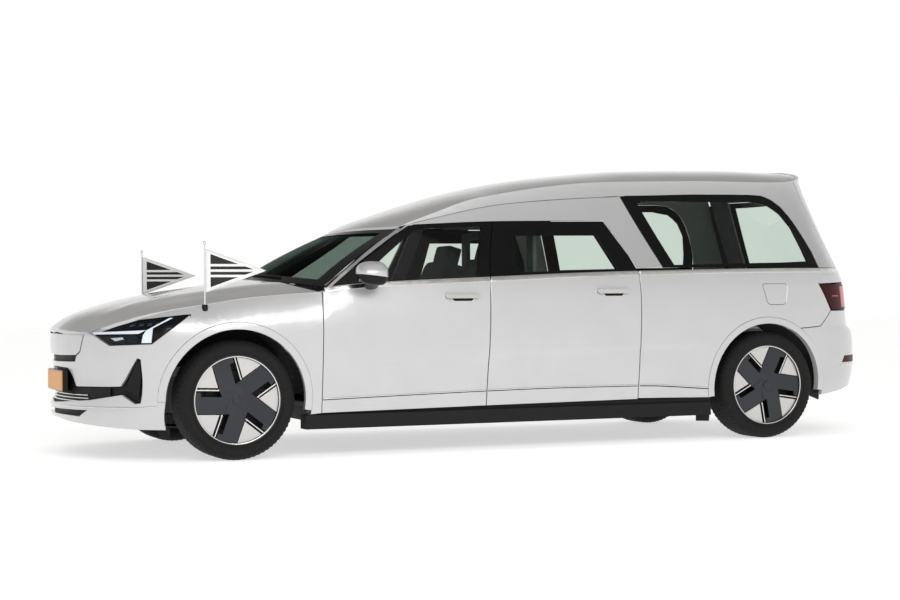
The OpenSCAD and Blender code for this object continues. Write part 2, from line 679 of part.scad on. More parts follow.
module quarter(with_flap) {
    as_shell() difference() {
        union() {
            intersection() {
                lower_shell(0, panel_t);
                side_cut(from = -500) polygon([
                    for (i = levels) let (z = level(i, 200, 1106)) [c_line(z), z],
                    [door_c, 1110], [tail + 40, 1135], [tail + 40, 1036], [wheelbase + 420, 1030],
                    [wheelbase + 534, 838], [wheelbase + 420, 738], [wheelbase + 300, 724],
                        [wheelbase, 500],
                    [wheelbase - 300, 200]]);
            }
            difference() {
                intersection() {
                    upper_shell(0, panel_t);
                    side_cut(from = -400) polygon([[door_c + 4, 1100], [c_line(door_top_c), door_top_c],
                        [c_line(door_top_c) + 4, door_top_c + gap], [door_c - 88, roof_h],
                            [tail, roof_h], [tail, 1100]]);
                }
                side_cut() polygon(side_win_points);
            }
        }
        roof_room();
        arch_cuts();
        // The pocket behind the charging flap keeps the panel's inner skin
        if (with_flap) intersection() {
            lower_shell(-20, panel_t - 4);
            side_cut() flap_outline(0);
        }
        front_cut(roof_end, tail + 60) tailgate_outline(gap);
        translate([roof_end, 0, 0]) roof_cut();
    }
}
// What lies behind the end of the roof and above the corner of the tailgate
module roof_cut() { translate([0, -FAR, roof_h - 90]) cube([FAR, 2 * FAR, 200]); }
module left_quarter() { color(silver) place() quarter(true); }
module right_quarter() { color(silver) place() mirror([0, 1, 0]) quarter(false); }
module flap_outline(grow) {
    translate([wheelbase - 26, 882]) offset(r = 18 - grow, $fn = 24) offset(delta = -18)
        polygon([[0, 0], [flap_l - 20, 0], [flap_l, flap_h * 0.6], [flap_l, flap_h], [-6, flap_h],
            [-6, flap_h * 0.5]]);
}
// The flap, with the hinge arm behind its front edge
module charge_flap() {
    color(silver) place() as_shell() {
        intersection() {
            lower_shell(0, 8);
            side_cut() flap_outline(gap / 2);
        }
        intersection() {
            lower_shell(7, panel_t - 4.3);
            side_cut() translate([wheelbase - 18, 930]) square([20, 50]);
        }
    }
}
module tailgate_outline(grow) {
    offset(delta = grow) polygon([[-655, 745], [-640, 1030], [-706, 1122], [-578, roof_h - 88],
        [-560, roof_h + 20],
        [560, roof_h + 20], [578, roof_h - 88], [706, 1122], [640, 1030], [655, 745]]);
}
tail_win_points = [[-560, 1150], [-490, roof_h - 190], [490, roof_h - 190], [560, 1150]];
// The top of the tailgate, which carries the roof's line on to the tail
module tailgate_cap(d0, d1, grow = 0) {
    w = roof_w(roof_end) * 0.985 + grow;
    grid = function (d) [for (f = roof_fs) [for (t = [0, 0.25, 0.5, 0.75, 1])
        let (y = f * w, a = roof_end - grow, s = a + (rear_edge(y) - a - (d > 0 ? 12 : 0)) * t)
        [s, y, roof_z(s, y) - d]]];
    shell(grid(d0), grid(d1));
}
module tailgate() {
    color(silver) place() as_shell() difference() {
        union() {
            tailgate_cap(0, tailgate_t);
            intersection() {
                lower_shell(0, tailgate_t);
                front_cut(roof_end, tail + 50) tailgate_outline(0);
            }
            intersection() {
                both_sides() upper_shell(0, tailgate_t, wheelbase - 200);
                front_cut(roof_end, tail + 50) tailgate_outline(0);
            }
        }
        front_cut(wheelbase + 300, tail + 90) polygon(tail_win_points);
    }
}
module tailgate_glass() {
    color(glass) place() as_shell() intersection() {
        both_sides() upper_shell(glass_in, glass_in + glass_t, wheelbase - 200);
        front_cut(roof_end, tail + 50) offset(delta = -0.3) polygon(tail_win_points);
    }
}
module tail_lamps() {
    color("#7c1015") place() as_shell() both_sides() {
        intersection() {
            lower_shell(1, panel_t + 0.6);
            side_cut(from = -664) offset(delta = -1) polygon(tail_lamp_points);
        }
        intersection() {
            lower_shell(panel_t + 0.3, 60);
            side_cut(from = -664) offset(delta = 12) polygon(tail_lamp_points);
        }
    }
}
module rear_bumper() {
    color(silver) place() as_shell() difference() {
        intersection() {
            lower_shell(0, panel_t);
            side_cut(from = FAR, to = -FAR) polygon([[wheelbase, 200], [wheelbase + 296, 716],
                [wheelbase + 424, 732],
                [wheelbase + 538, 834], [tail + 60, 834], [tail + 60, 200]]);
        }
        arch_cuts();
        front_cut(roof_end, tail + 90) tailgate_outline(gap);
    }
}
module sills() {
    color(black) place() both_sides() difference() {
        union() {
            slab(door_a - 104, wheelbase - 420, -half_w + 40, -half_w + 112, sill_h, door_low_h - 12);
            slab(door_a - 104, wheelbase - 420, -half_w + 112, -half_w + 149.8, sill_h, door_low_h - 12);
        }
        for (x = [door_a + 240, wheelbase - 660]) translate([x, -half_w + 76,
            sill_h - 1]) cylinder(h = 30, r = 14, $fn = 32);
    }
}
module wheel_liner(r) {
    rotate([90, 0, 0]) difference() {
        cylinder(h = 440, r = r + 8, $fn = 60);
        translate([0, 0, -1]) cylinder(h = 442, r = r + 3, $fn = 60);
        translate([-FAR, -FAR, -2]) cube([2 * FAR, FAR, 444]);
    }
}
module wheel_liners() {
    color(black) place() as_shell() both_sides() difference() {
        union() {
            translate([0, -half_w + 446, tyre_r + 20]) wheel_liner(front_arch_r);
            translate([wheelbase, -half_w + 446, tyre_r + 20]) wheel_liner(rear_arch_r);
        }
        lower_shell(-100, panel_t + 0.7);
    }
}

// --- Fittings outside ---

module left_mirror() {
    color(black) place() as_shell() difference() {
        union() {
            translate([826, -half_w - 62, 1104]) scale([1.12, 1, 0.62]) sphere(r = 92, $fn = 28);
            translate([836, -half_w + 66, 1024]) rotate([58, 0, 0]) cylinder(h = 130, r = 24, $fn = 24);
        }
        lower_shell(-0.3, 130);
        upper_shell(-0.3, 100);
    }
}
module right_mirror() { mirror([0, 1, 0]) left_mirror(); }
flag_x = -180;
flag_y = half_w - 60;
module flag_poles() {
    color("#c9cacc") place() both_sides() translate([flag_x, -flag_y, 0]) {
        translate([0, 0, 914]) cylinder(h = pole_top_h - 924, r = pole_r, $fn = 24);
        translate([0, 0, pole_top_h - 12]) sphere(r = 12, $fn = 24);
    }
    color(black) place() as_shell() both_sides() difference() {
        translate([flag_x, -flag_y, 870]) cylinder(h = 46, r = 17, $fn = 32);
        lower_shell(-0.3, panel_t + 60);
    }
}
pennant_top = pole_top_h - 42;
module pennants() {
    color("white") place() both_sides() translate([flag_x, -flag_y + 1.5, 0]) rotate([90, 0, 0])
        linear_extrude(3) polygon([[pole_r + 0.3, pennant_top],
            [pennant_l, pennant_top - pennant_h / 2 - 10],
            [pole_r + 0.3, pennant_top - pennant_h]]);
}

// --- Inside ---

module seat(y) {
    translate([0, y, 0]) {
        hull() {
            for (x = [1120, 1560], w = [-220, 220]) translate([x, w, 560]) sphere(r = 60, $fn = 16);
            for (x = [1120, 1560], w = [-220, 220]) translate([x, w, 470]) sphere(r = 40, $fn = 16);
        }
        hull() for (w = [-210, 210]) {
            translate([1640, w, 560]) sphere(r = 60, $fn = 16);
            translate([1830, w * 0.8, 1080]) sphere(r = 45, $fn = 16);
        }
        hull() for (w = [-100, 100]) {
            translate([1845, w, 1190]) sphere(r = 45, $fn = 16);
            translate([1865, w, 1270]) sphere(r = 40, $fn = 16);
        }
        for (w = [-60, 60]) translate([1842, w, 1100]) rotate([0, 6, 0]) cylinder(h = 90, r = 7, $fn = 16);
        slab(1160, 1540, -200, 200, floor_h, 434);
    }
}
module front_seats() { color("#2c2d2f") place() { seat(-370); seat(370); } }
module dashboard() {
    color(black) place() as_shell() {
        hull() for (y = [-640, 640]) {
            translate([610, y, 800]) sphere(r = 70, $fn = 16);
            translate([610, y, 940]) sphere(r = 60, $fn = 16);
            translate([780, y, 900]) sphere(r = 60, $fn = 16);
        }
        slab(door_a - 5.7, 640, -600, 600, 820, 900);
        slab(600, 1500, -80, 80, floor_h, 540);
        translate([900, -370, 900]) rotate([0, -112, 0]) {
            rotate_extrude($fn = 48) translate([175, 0]) circle(r = 15, $fn = 16);
            translate([0, 0, 0]) cylinder(h = 150, r = 30, $fn = 32);
            cylinder(h = 24, r = 58, center = true, $fn = 40);
            for (a = [90, -90, 180]) rotate(a) translate([40, -14, -8]) cube([124, 28, 14]);
        }
    }
}
partition_at = 2050;
// The wall behind the seats, with its window
module partition() {
    color("#44474a") place() difference() {
        slab(partition_at, partition_at + 24, -600, 600, floor_h, roof_h - 430);
        slab(partition_at - 1, partition_at + 25, -500, 500, 980, roof_h - 480);
    }
}
deck_a = partition_at + 26;
deck_b = wheelbase + 770;
// The deck for the coffin on its two side walls, with sockets for the coffin stops
module coffin_deck() {
    color("#9a9c9e") place() difference() {
        union() {
            slab(deck_a, deck_b, -deck_w / 2, deck_w / 2, deck_h - 30, deck_h);
            both_sides() slab(deck_a, wheelbase - 480, -deck_w / 2, -deck_w / 2 + 24, floor_h, deck_h - 30);
            both_sides() slab(wheelbase - 480, deck_b, -deck_w / 2 + 60, -deck_w / 2 + 84, 500,
                deck_h - 30);
        }
        for (x = [deck_a + 200, deck_b - 200], y = [-240, 240])
            translate([x, y, deck_h - 31]) cylinder(h = 32, r = stop_bore / 2, $fn = 32);
    }
}

module front_left_tyre() { color(black) wheel_at(0, -1) tyre(); }
module front_right_tyre() { color(black) wheel_at(0, 1) tyre(); }
module rear_left_tyre() { color(black) wheel_at(wheelbase, -1) tyre(); }
module rear_right_tyre() { color(black) wheel_at(wheelbase, 1) tyre(); }
module front_left_rim() { color(silver) wheel_at(0, -1) rim(); }
module front_right_rim() { color(silver) wheel_at(0, 1) rim(); }
module rear_left_rim() { color(silver) wheel_at(wheelbase, -1) rim(); }
module rear_right_rim() { color(silver) wheel_at(wheelbase, 1) rim(); }

floor_pan();
battery_pack();
front_axle();
rear_axle();
left_knuckle();
right_knuckle();
front_left_tyre();
front_right_tyre();
rear_left_tyre();
rear_right_tyre();
front_left_rim();
front_right_rim();
rear_left_rim();
rear_right_rim();
front_bumper();
grille_panel();
front_bay();
hood();
left_fender();
right_fender();
headlights();
windshield();
cowl();
cabin_frame();
roof();
left_quarter();
right_quarter();
front_left_door();
front_right_door();
rear_left_door();
rear_right_door();
front_left_glass();
front_right_glass();
rear_left_glass();
rear_right_glass();
side_glass();
tailgate();
tailgate_glass();
tail_lamps();
rear_bumper();
sills();
wheel_liners();
left_mirror();
right_mirror();
flag_poles();
pennants();
front_seats();
dashboard();
partition();
coffin_deck();
charge_flap();
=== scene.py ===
import bpy, bmesh, json
from bisect import bisect_right
from math import sin, cos, acos, asin, sqrt, pi, radians, atan2, hypot
from mathutils import Matrix, Vector

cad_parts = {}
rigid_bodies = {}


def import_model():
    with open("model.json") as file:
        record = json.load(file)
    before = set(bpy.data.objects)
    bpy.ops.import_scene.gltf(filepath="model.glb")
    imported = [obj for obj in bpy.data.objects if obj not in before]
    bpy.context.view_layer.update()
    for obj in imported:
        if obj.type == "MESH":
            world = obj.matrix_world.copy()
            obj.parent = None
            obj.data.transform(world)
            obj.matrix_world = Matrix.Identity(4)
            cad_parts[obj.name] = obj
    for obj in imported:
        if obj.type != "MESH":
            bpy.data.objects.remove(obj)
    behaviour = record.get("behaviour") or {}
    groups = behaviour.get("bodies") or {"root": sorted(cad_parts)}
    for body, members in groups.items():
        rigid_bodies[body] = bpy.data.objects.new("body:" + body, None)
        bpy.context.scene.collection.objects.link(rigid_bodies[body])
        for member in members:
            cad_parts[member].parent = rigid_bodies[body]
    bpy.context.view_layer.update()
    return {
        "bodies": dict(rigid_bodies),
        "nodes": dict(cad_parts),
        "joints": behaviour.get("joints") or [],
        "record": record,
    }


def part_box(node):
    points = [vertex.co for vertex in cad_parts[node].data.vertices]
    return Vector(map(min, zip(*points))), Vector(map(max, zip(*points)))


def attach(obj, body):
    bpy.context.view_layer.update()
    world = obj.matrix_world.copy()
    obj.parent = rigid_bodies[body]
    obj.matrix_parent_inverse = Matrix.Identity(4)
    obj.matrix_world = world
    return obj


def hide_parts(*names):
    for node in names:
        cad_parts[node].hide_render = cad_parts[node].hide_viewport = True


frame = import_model()

# ---------------------------------------------------------------- sizes, in millimetres
# Stations run rearwards from the front axle, y from the middle to the right, z from the ground.
NOSE, TAIL, NOSE_TURN, TAIL_TURN = -915.0, 4585.0, -150.0, 3700.0
WHEELBASE = 3610.0
HALF, WIDE_Z, BELT_IN, FOOT_IN = 929.5, 720.0, 48.0, 34.0
ROOF_Z, ROOF_END = 1829.0, 4042.0
FRONT_ARCH, REAR_ARCH, LIP = 415.0, 406.0, 44.0
HUB_Z, TYRE_R, RIM_R, TYRE_W = 352.0, 352.0, 268.0, 245.0
GAP = 5.0


def middle(node):
    low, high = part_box(node)
    return (low + high) / 2


AXLE_X = middle("front_left_tyre").x


def metres(u, y, z):
    return Vector((AXLE_X + u / 1000, y / 1000, z / 1000))


def curve(*points):
    """A smooth line through the points that never overshoots them."""
    xs, ys = [float(p[0]) for p in points], [float(p[1]) for p in points]
    n = len(xs)
    steps = [(ys[i + 1] - ys[i]) / (xs[i + 1] - xs[i]) for i in range(n - 1)]
    slopes = [steps[0]] + [
        0 if steps[i - 1] * steps[i] <= 0 else 2 / (1 / steps[i - 1] + 1 / steps[i])
        for i in range(1, n - 1)] + [steps[-1]]

    def value(x):
        if x <= xs[0]:
            return ys[0]
        if x >= xs[-1]:
            return ys[-1]
        i = bisect_right(xs, x) - 1
        h = xs[i + 1] - xs[i]
        t = (x - xs[i]) / h
        return (ys[i] * (1 + 2 * t) * (1 - t) ** 2 + slopes[i] * h * t * (1 - t) ** 2
                + ys[i + 1] * t * t * (3 - 2 * t) + slopes[i + 1] * h * t * t * (t - 1))
    return value


def clamp(x, low=0.0, high=1.0):
    return min(max(x, low), high)


def soft_step(x):
    x = clamp(x)
    return x * x * (3 - 2 * x)


shoulder = curve((-915, 764), (-615, 752), (-503, 795), (-362, 861), (-150, 918), (120, 955), (526, 984),
                 (556, 1012), (1611, 1069), (2665, 1106), (4077, 1126), (4585, 1118))
foot = curve((-915, 236), (-415, 190), (-300, 184), (415, 255), (526, 262), (2665, 285), (3999, 304),
             (4310, 335), (4585, 318))
shoulder_in = curve((-150, 74), (526, 60), (726, 48))
nose_in = curve((150, 60), (275, 0), (330, 8), (400, 28), (470, 32), (560, 16), (640, 3), (700, 0), (764, 8),
                (860, 52), (980, 150))
tail_in = curve((200, 60), (330, 30), (400, 10), (480, 0), (640, 6), (700, 22), (740, 62), (870, 74),
                (1030, 84), (1130, 124), (1740, 352), (1829, 380))
crease = curve((594, 540), (1588, 593), (2650, 631), (3091, 650))
moulding = curve((511, 346), (1083, 360), (1599, 371), (2079, 377), (2655, 375), (3193, 341))
edge_line = curve((548, 1012), (1128, 1393), (1318, 1467), (1673, 1583), (2518, 1693), (3269, 1715))
edge_in = curve((548, -66), (1128, -296), (2650, -290))
crown_line = curve((907, 1386), (1011, 1433), (1150, 1480), (1361, 1549), (1647, 1633), (1939, 1699),
                   (2236, 1745),
                   (2539, 1778), (2847, 1805), (3321, 1822), (3727, 1829), (4059, 1823), (4228, 1820), (4310,
                                                                                                        1789))
roof_front_edge = curve((907, 1260), (1011, 1330), (1128, 1393))
hood_line = curve((-915, 764), (-902, 789), (-872, 813), (-811, 849), (-750, 873), (-688, 895), (-564, 930),
                  (-439, 960), (-250, 996), (-59, 1024), (130, 1052), (300, 1072), (560, 1084))
seam_line = curve((-915, 764), (-784, 752), (-693, 795), (-488, 861), (-150, 918), (120, 955), (526, 984))
a_line = curve((100, 516), (620, 524), (980, 536), (1012, 546))
b_line = curve((100, 1587), (350, 1589), (618, 1602), (1044, 1629), (1421, 1727))
c_line = curve((100, 2645), (285, 2648), (700, 2661), (1048, 2675), (1106, 2667), (1432, 2499))
door_top = curve((1150, 1395), (1724, 1421), (2498, 1432))


def quarter_turn(t, square):
    t = clamp(t)
    return sin(pi / 2 * t) ** (2 / square), max(cos(pi / 2 * t), 0) ** (2 / square)


def wrapped(u, z, w, d):
    if u < NOSE_TURN:
        q = quarter_turn((NOSE_TURN - u) / (NOSE_TURN - NOSE), 2.15)
        return NOSE_TURN - (NOSE_TURN - NOSE - nose_in(z) - d) * q[0], -w * q[1], z
    if u > TAIL_TURN:
        q = quarter_turn((u - TAIL_TURN) / (TAIL - TAIL_TURN), 3)
        return TAIL_TURN + (TAIL - TAIL_TURN - tail_in(z) - d) * q[0], -w * q[1], z
    return u, -w, z


def relief(u, z):
    """How far the side steps in under its crease."""
    ends = soft_step((u - 560) / 160) * soft_step((3120 - u) / 160)
    return 5.0 * soft_step((crease(u) - z) / 46) * ends


def side_w(u, z, d=0.0):
    if z > WIDE_Z:
        return HALF - d - shoulder_in(u) * ((z - WIDE_Z) / max(shoulder(u) - WIDE_Z, 60)) ** 2
    return HALF - d - FOOT_IN * ((WIDE_Z - z) / 520) ** 2 - relief(u, z)


def low_side(u, z, d):
    return wrapped(u, z, side_w(u, z, d), d)


def roof_edge(u):
    if u > TAIL_TURN:
        return ROOF_Z - 114 * quarter_turn((u - TAIL_TURN) / (TAIL - TAIL_TURN), 3)[1] ** 2.3
    return edge_line(u)


def upper_w(u, z, d=0.0):
    low = min(shoulder(u), roof_edge(u) - 1)
    v = clamp((z - low) / (roof_edge(u) - low))
    return HALF - BELT_IN - d + (edge_in(u) + BELT_IN) * (1 - (1 - v) ** 1.25)


def high_side(u, z, d):
    return wrapped(u, z, upper_w(u, z, d), d)


def roof_half(s):
    w = HALF + edge_in(max(s, 1128))
    if s > TAIL_TURN:
        w *= max(1 - ((s - TAIL_TURN) / (TAIL - TAIL_TURN - tail_in(1715))) ** 3, 0) ** (1 / 3)
    return w


def roof_top(s, y, d):
    w = HALF + edge_in(max(s, 1128))
    edge = roof_front_edge(s) if s < 1128 else roof_edge(min(s, TAIL_TURN))
    crown = crown_line(s)
    return s, y, crown - (crown - edge) * min(abs(y) / w, 1.05) ** 2.3 - d


def hood_half(s):
    if s > NOSE_TURN:
        return side_w(s, shoulder(s))
    reach = (NOSE_TURN - s) / (NOSE_TURN - NOSE + 2)
    return (HALF - BELT_IN - 26) * max(1 - reach ** 2.15, 0.0001) ** (1 / 2.15)


def hood_top(s, y, d):
    inner = max(s, NOSE + 20)
    seam = seam_line(inner)
    mid = hood_line(s)
    fall = min(abs(y) / hood_half(inner), 1.2)
    # Two soft ridges run back from the lamps' inner corners
    ridge = 5 * (soft_step((abs(y) - 330 - 0.1 * (s + 900)) / 90)
                 - soft_step((abs(y) - 420 - 0.12 * (s + 900)) / 150)) * soft_step((s + 860) / 300)
    return s, y, mid - (mid - min(seam, mid)) * fall ** 2.4 + ridge * soft_step((1.02 - fall) * 6) - d


def hood_back(y):
    return 262 + 248 * (abs(y) / 855) ** 2


def from_side(s, z):
    """Where a point seen from the side lies along the body's wrapped surface."""
    if s < NOSE_TURN:
        q = clamp((NOSE_TURN - s) / (NOSE_TURN - NOSE - nose_in(z)))
        return NOSE_TURN - (NOSE_TURN - NOSE) * 2 / pi * asin(q ** (2.15 / 2)), z
    if s > TAIL_TURN:
        q = clamp((s - TAIL_TURN) / (TAIL - TAIL_TURN - tail_in(z)))
        return TAIL_TURN + (TAIL - TAIL_TURN) * 2 / pi * asin(q ** (3 / 2)), z
    return s, z


def from_front(y, z):
    u = -700
    for _ in range(3):
        u = NOSE_TURN - (NOSE_TURN - NOSE) * 2 / pi * acos(clamp(abs(y) / side_w(u, z)) ** (2.15 / 2))
    return u, z


def from_behind(y, z, width=side_w):
    u = 4300
    for _ in range(3):
        u = TAIL_TURN + (TAIL - TAIL_TURN) * 2 / pi * acos(clamp(abs(y) / width(u, z)) ** (3 / 2))
    return u, z


def along(line, start, stop, count=8, shift=0.0):
    """Points of a height line between two stations."""
    return [(start + (stop - start) * i / count, line(start + (stop - start) * i / count) + shift)
            for i in range(count + 1)]


def up(line, low, high, count=6, shift=0.0):
    """Points of a gap line between two heights."""
    return [(line(low + (high - low) * i / count) + shift, low + (high - low) * i / count)
            for i in range(count + 1)]


def band(line, low, high):
    """A closed strip that lies from low to high along the points of a line."""
    return [(u, z + low) for u, z in line] + [(u, z + high) for u, z in line[::-1]]


def seen(*points):
    """Points given as they are seen from the side."""
    return [from_side(s, z) for s, z in points]


def at_nose(*points):
    """Points given by their distance from the middle and height, on the nose."""
    return [from_front(y, z) for y, z in points]


def at_tail(*points, width=side_w):
    """Points given by their distance from the middle and height, on the tail."""
    return [from_behind(y, z, width) for y, z in points]


def arc(cu, cz, r, start, stop, count=24):
    return [(cu + r * cos(radians(start + (stop - start) * i / count)),
             cz + r * sin(radians(start + (stop - start) * i / count))) for i in range(count + 1)]


# ---------------------------------------------------------------- materials

def linear(code):
    parts = [int(code[i:i + 2], 16) / 255 for i in (1, 3, 5)]
    return tuple(c / 12.92 if c <= 0.04045 else ((c + 0.055) / 1.055) ** 2.4 for c in parts) + (1.0,)


def add(tree, kind, sockets=(), **settings):
    """Adds a node with its settings, and sets or links its sockets."""
    node = tree.nodes.new(kind)
    for key, value in settings.items():
        setattr(node, key, value)
    for key, value in dict(sockets).items():
        if isinstance(value, bpy.types.NodeSocket):
            tree.links.new(value, node.inputs[key])
        else:
            node.inputs[key].default_value = value
    return node


def finish(name, colour, roughness, metallic=0.0, mottle=None, grain=None, rough_spread=0.04, **sockets):
    """A Principled finish. mottle is (second colour, patch size in mm), grain is (size in mm, height in mm)."""
    material = bpy.data.materials.new(name)
    material.use_nodes = True
    tree = material.node_tree
    tree.nodes.clear()
    place = add(tree, "ShaderNodeTexCoord").outputs["Object"]
    patch_mm = mottle[1] if mottle else 60
    patches = add(tree, "ShaderNodeTexNoise", {"Vector": place, "Scale": 1000 / patch_mm, "Detail": 4})
    spread = add(tree, "ShaderNodeMapRange", {
        "Value": patches.outputs["Fac"], "From Min": 0.3, "From Max": 0.7,
        "To Min": max(roughness - rough_spread, 0.01), "To Max": roughness + rough_spread})
    shader = add(tree, "ShaderNodeBsdfPrincipled", {
        "Base Color": linear(colour), "Metallic": metallic, "Roughness": spread.outputs["Result"]})
    if mottle:
        mix = add(tree, "ShaderNodeMix", {"Factor": patches.outputs["Fac"]}, data_type="RGBA")
        for key, value in (("A", linear(colour)), ("B", linear(mottle[0]))):
            [s for s in mix.inputs if s.name == key and s.type == "RGBA"][0].default_value = value
        tree.links.new([s for s in mix.outputs if s.type == "RGBA"][0], shader.inputs["Base Color"])
    if grain:
        pits = add(tree, "ShaderNodeTexNoise", {"Vector": place, "Scale": 1000 / grain[0], "Detail": 2})
        bump = add(tree, "ShaderNodeBump", {
            "Height": pits.outputs["Fac"], "Strength": 1.0, "Distance": grain[1] / 1000})
        tree.links.new(bump.outputs["Normal"], shader.inputs["Normal"])
    for key, value in sockets.items():
        shader.inputs[key.replace("_", " ")].default_value = value
    add(tree, "ShaderNodeOutputMaterial", {"Surface": shader.outputs["BSDF"]})
    return material


# Metallic base coat under clear lacquer: the flakes brighten in patches and the lacquer has a faint orange peel
paint = finish("silver_metallic_lacquer", "#cacaca", 0.36, 0.42, mottle=("#bfc0c1", 240), grain=(6, 0.004),
               Coat_Weight=0.85, Coat_Roughness=0.05)
# The same lacquer on the parts that stay in the doorways, duller because it isn't polished
inner_paint = finish("body_colour_primer_coat", "#97989a", 0.5, 0.3, mottle=("#8c8d90", 120), grain=(4, 0.01))
# Moulded gloss black ABS round the windows: deep and even, with a faint waviness
gloss_black = finish("gloss_black_abs", "#0b0b0c", 0.2, mottle=("#0f1011", 90), grain=(40, 0.001), IOR=1.3)
# Textured moulded polypropylene: a fine leather-like grain that takes the shine off
black_plastic = finish("grained_black_polypropylene", "#0c0c0d", 0.6, mottle=("#121213", 50), grain=(1.6, 0.02),
                       IOR=1.35)
# Bright anodised aluminium trim: satin, with fine scatter along its length
bright_trim = finish("bright_anodised_aluminium", "#e3e2df", 0.2, 1.0, mottle=("#cfcecb", 30), grain=(2, 0.002))
# Chrome plate: mirror bright
chrome = finish("chrome_plate", "#e8e9ea", 0.07, 1.0, mottle=("#dcdee0", 60), rough_spread=0.02)
# Diamond turned and lacquered aluminium on the wheel's light sectors
wheel_silver = finish("turned_lacquered_aluminium", "#d2d0ce", 0.34, 0.55, mottle=("#c2c0be", 14),
                      grain=(1.2, 0.004))
# Anthracite painted cast alloy on the wheel's blades
wheel_dark = finish("anthracite_painted_alloy", "#1a1e23", 0.34, 0.35, mottle=("#20252b", 40), grain=(2.5, 0.01),
                    Coat_Weight=0.3)
# Vulcanised rubber: nearly matt, greyed where it has scuffed
rubber = finish("vulcanised_rubber", "#0f0e0e", 0.75, mottle=("#191716", 18), grain=(1.2, 0.04), rough_spread=0.1,
                IOR=1.35)
# Ground cast iron brake disc
cast_iron = finish("ground_cast_iron", "#2f2d2c", 0.5, 0.7, mottle=("#262423", 8), grain=(1.0, 0.02))
# Black wrinkle paint on steel for the running gear
chassis = finish("black_stoved_steel", "#232426", 0.6, 0.2, mottle=("#2c2c2d", 35), grain=(2.2, 0.05))
# Woven seat cloth over foam, with a soft sheen
seat_cloth = finish("charcoal_seat_weave", "#4b5052", 0.9, mottle=("#44494b", 3), grain=(1.5, 0.05),
                    Sheen_Weight=0.1)
# Slush moulded soft trim on the dash and door cards
soft_trim = finish("slush_moulded_trim", "#686e6e", 0.75, mottle=("#606666", 30), grain=(1.4, 0.01),
                   IOR=1.3)
# Knitted headliner, light grey and quite matt
headliner = finish("knitted_headliner", "#8d918e", 0.95, mottle=("#848886", 4), grain=(1.4, 0.02),
                   Sheen_Weight=0.2)
# Brushed stainless deck under the coffin
deck_steel = finish("brushed_stainless_deck", "#b4b3b0", 0.3, 1.0, mottle=("#a5a4a1", 12), grain=(1.5, 0.006))
# Yellow reflective plate sheeting, blank
plate_yellow = finish("yellow_reflective_sheeting", "#d98f0a", 0.35, mottle=("#d08808", 6), grain=(2.0, 0.01))
# Polyester flag cloth, a close plain weave drawn at 1.6 mm so that it shows
flag_white = finish("white_polyester_bunting", "#eeeeec", 0.8, mottle=("#e2e2e0", 3), grain=(1.6, 0.08),
                    Sheen_Weight=0.2)
# The same cloth dyed black
flag_black = finish("black_polyester_bunting", "#191919", 0.8, mottle=("#222222", 3), grain=(1.6, 0.08),
                    Sheen_Weight=0.2)
# Deep red acrylic lamp cover, clear and polished
lamp_red = finish("red_acrylic", "#b01019", 0.22, mottle=("#980c14", 20), Coat_Weight=0.3, Emission_Strength=0.12,
                  Emission_Color=linear("#c01018"))
# Smoked red acrylic of the lamps' unlit parts
lamp_dark_red = finish("smoked_red_acrylic", "#3c070b", 0.35, mottle=("#300609", 20), IOR=1.2)
# Opal white diffuser of the running light
lamp_white = finish("opal_diffuser", "#eceff2", 0.3, mottle=("#dfe3e8", 20), Emission_Strength=0.3,
                    Emission_Color=linear("#ffffff"))
# Blue-tinted caps over the main beam's cells
lamp_blue = finish("blue_tinted_lens", "#3c5a86", 0.1, 0.6, mottle=("#2f4870", 6), Coat_Weight=1.0)
# Smoked housing behind the lamp's cover
lamp_dark = finish("smoked_lamp_housing", "#08090b", 0.3, mottle=("#0c0e11", 25), IOR=1.3)


def glazing(name, tint, index):
    """Clear tinted sheet glass: its outer faces mirror more at a slant, and its inner ones let all through."""
    material = bpy.data.materials.new(name)
    material.use_nodes = True
    tree = material.node_tree
    tree.nodes.clear()
    clear = add(tree, "ShaderNodeBsdfTransparent", {"Color": linear(tint)})
    mirror = add(tree, "ShaderNodeBsdfGlossy", {"Color": (1, 1, 1, 1), "Roughness": 0.02})
    slant = add(tree, "ShaderNodeFresnel", {"IOR": index})
    both = add(tree, "ShaderNodeMixShader", {
        0: slant.outputs["Fac"], 1: clear.outputs["BSDF"], 2: mirror.outputs["BSDF"]})
    behind = add(tree, "ShaderNodeNewGeometry").outputs["Backfacing"]
    sheet = add(tree, "ShaderNodeMixShader", {0: behind, 1: both.outputs["Shader"], 2: clear.outputs["BSDF"]})
    add(tree, "ShaderNodeOutputMaterial", {"Surface": sheet.outputs["Shader"]})
    return material


# Float glass with a green solar tint
window_glass = glazing("green_tinted_float_glass", "#f1f5f2", 1.36)
# Laminated glass of the windshield; its tint, darker than the side glass, is painted shade for the way the screen
# leans back
shaded_screen_glass = glazing("laminated_windshield_painted_shade_glass", "#a9b3ae", 1.12)
# Clear polycarbonate over the headlamps
lamp_cover = glazing("clear_polycarbonate_cover", "#f4f6f8", 1.2)

# ---------------------------------------------------------------- building pieces


def make(name, bm, body, finishes, slot=None, replaces=(), sharp=34, weighted=True):
    mesh = bpy.data.meshes.new(name)
    bm.to_mesh(mesh)
    bm.free()
    piece = bpy.data.objects.new(name, mesh)
    bpy.context.scene.collection.objects.link(piece)
    for material in finishes:
        mesh.materials.append(material)
    mesh.polygons.foreach_set("use_smooth", [True] * len(mesh.polygons))
    mesh.set_sharp_from_angle(angle=radians(sharp))
    if weighted:
        modifier = piece.modifiers.new("even_shading", "WEIGHTED_NORMAL")
        modifier.keep_sharp = True
    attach(piece, body)
    if replaces:
        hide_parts(*replaces)
    return piece


def other(name):
    return name.replace("left", "right")


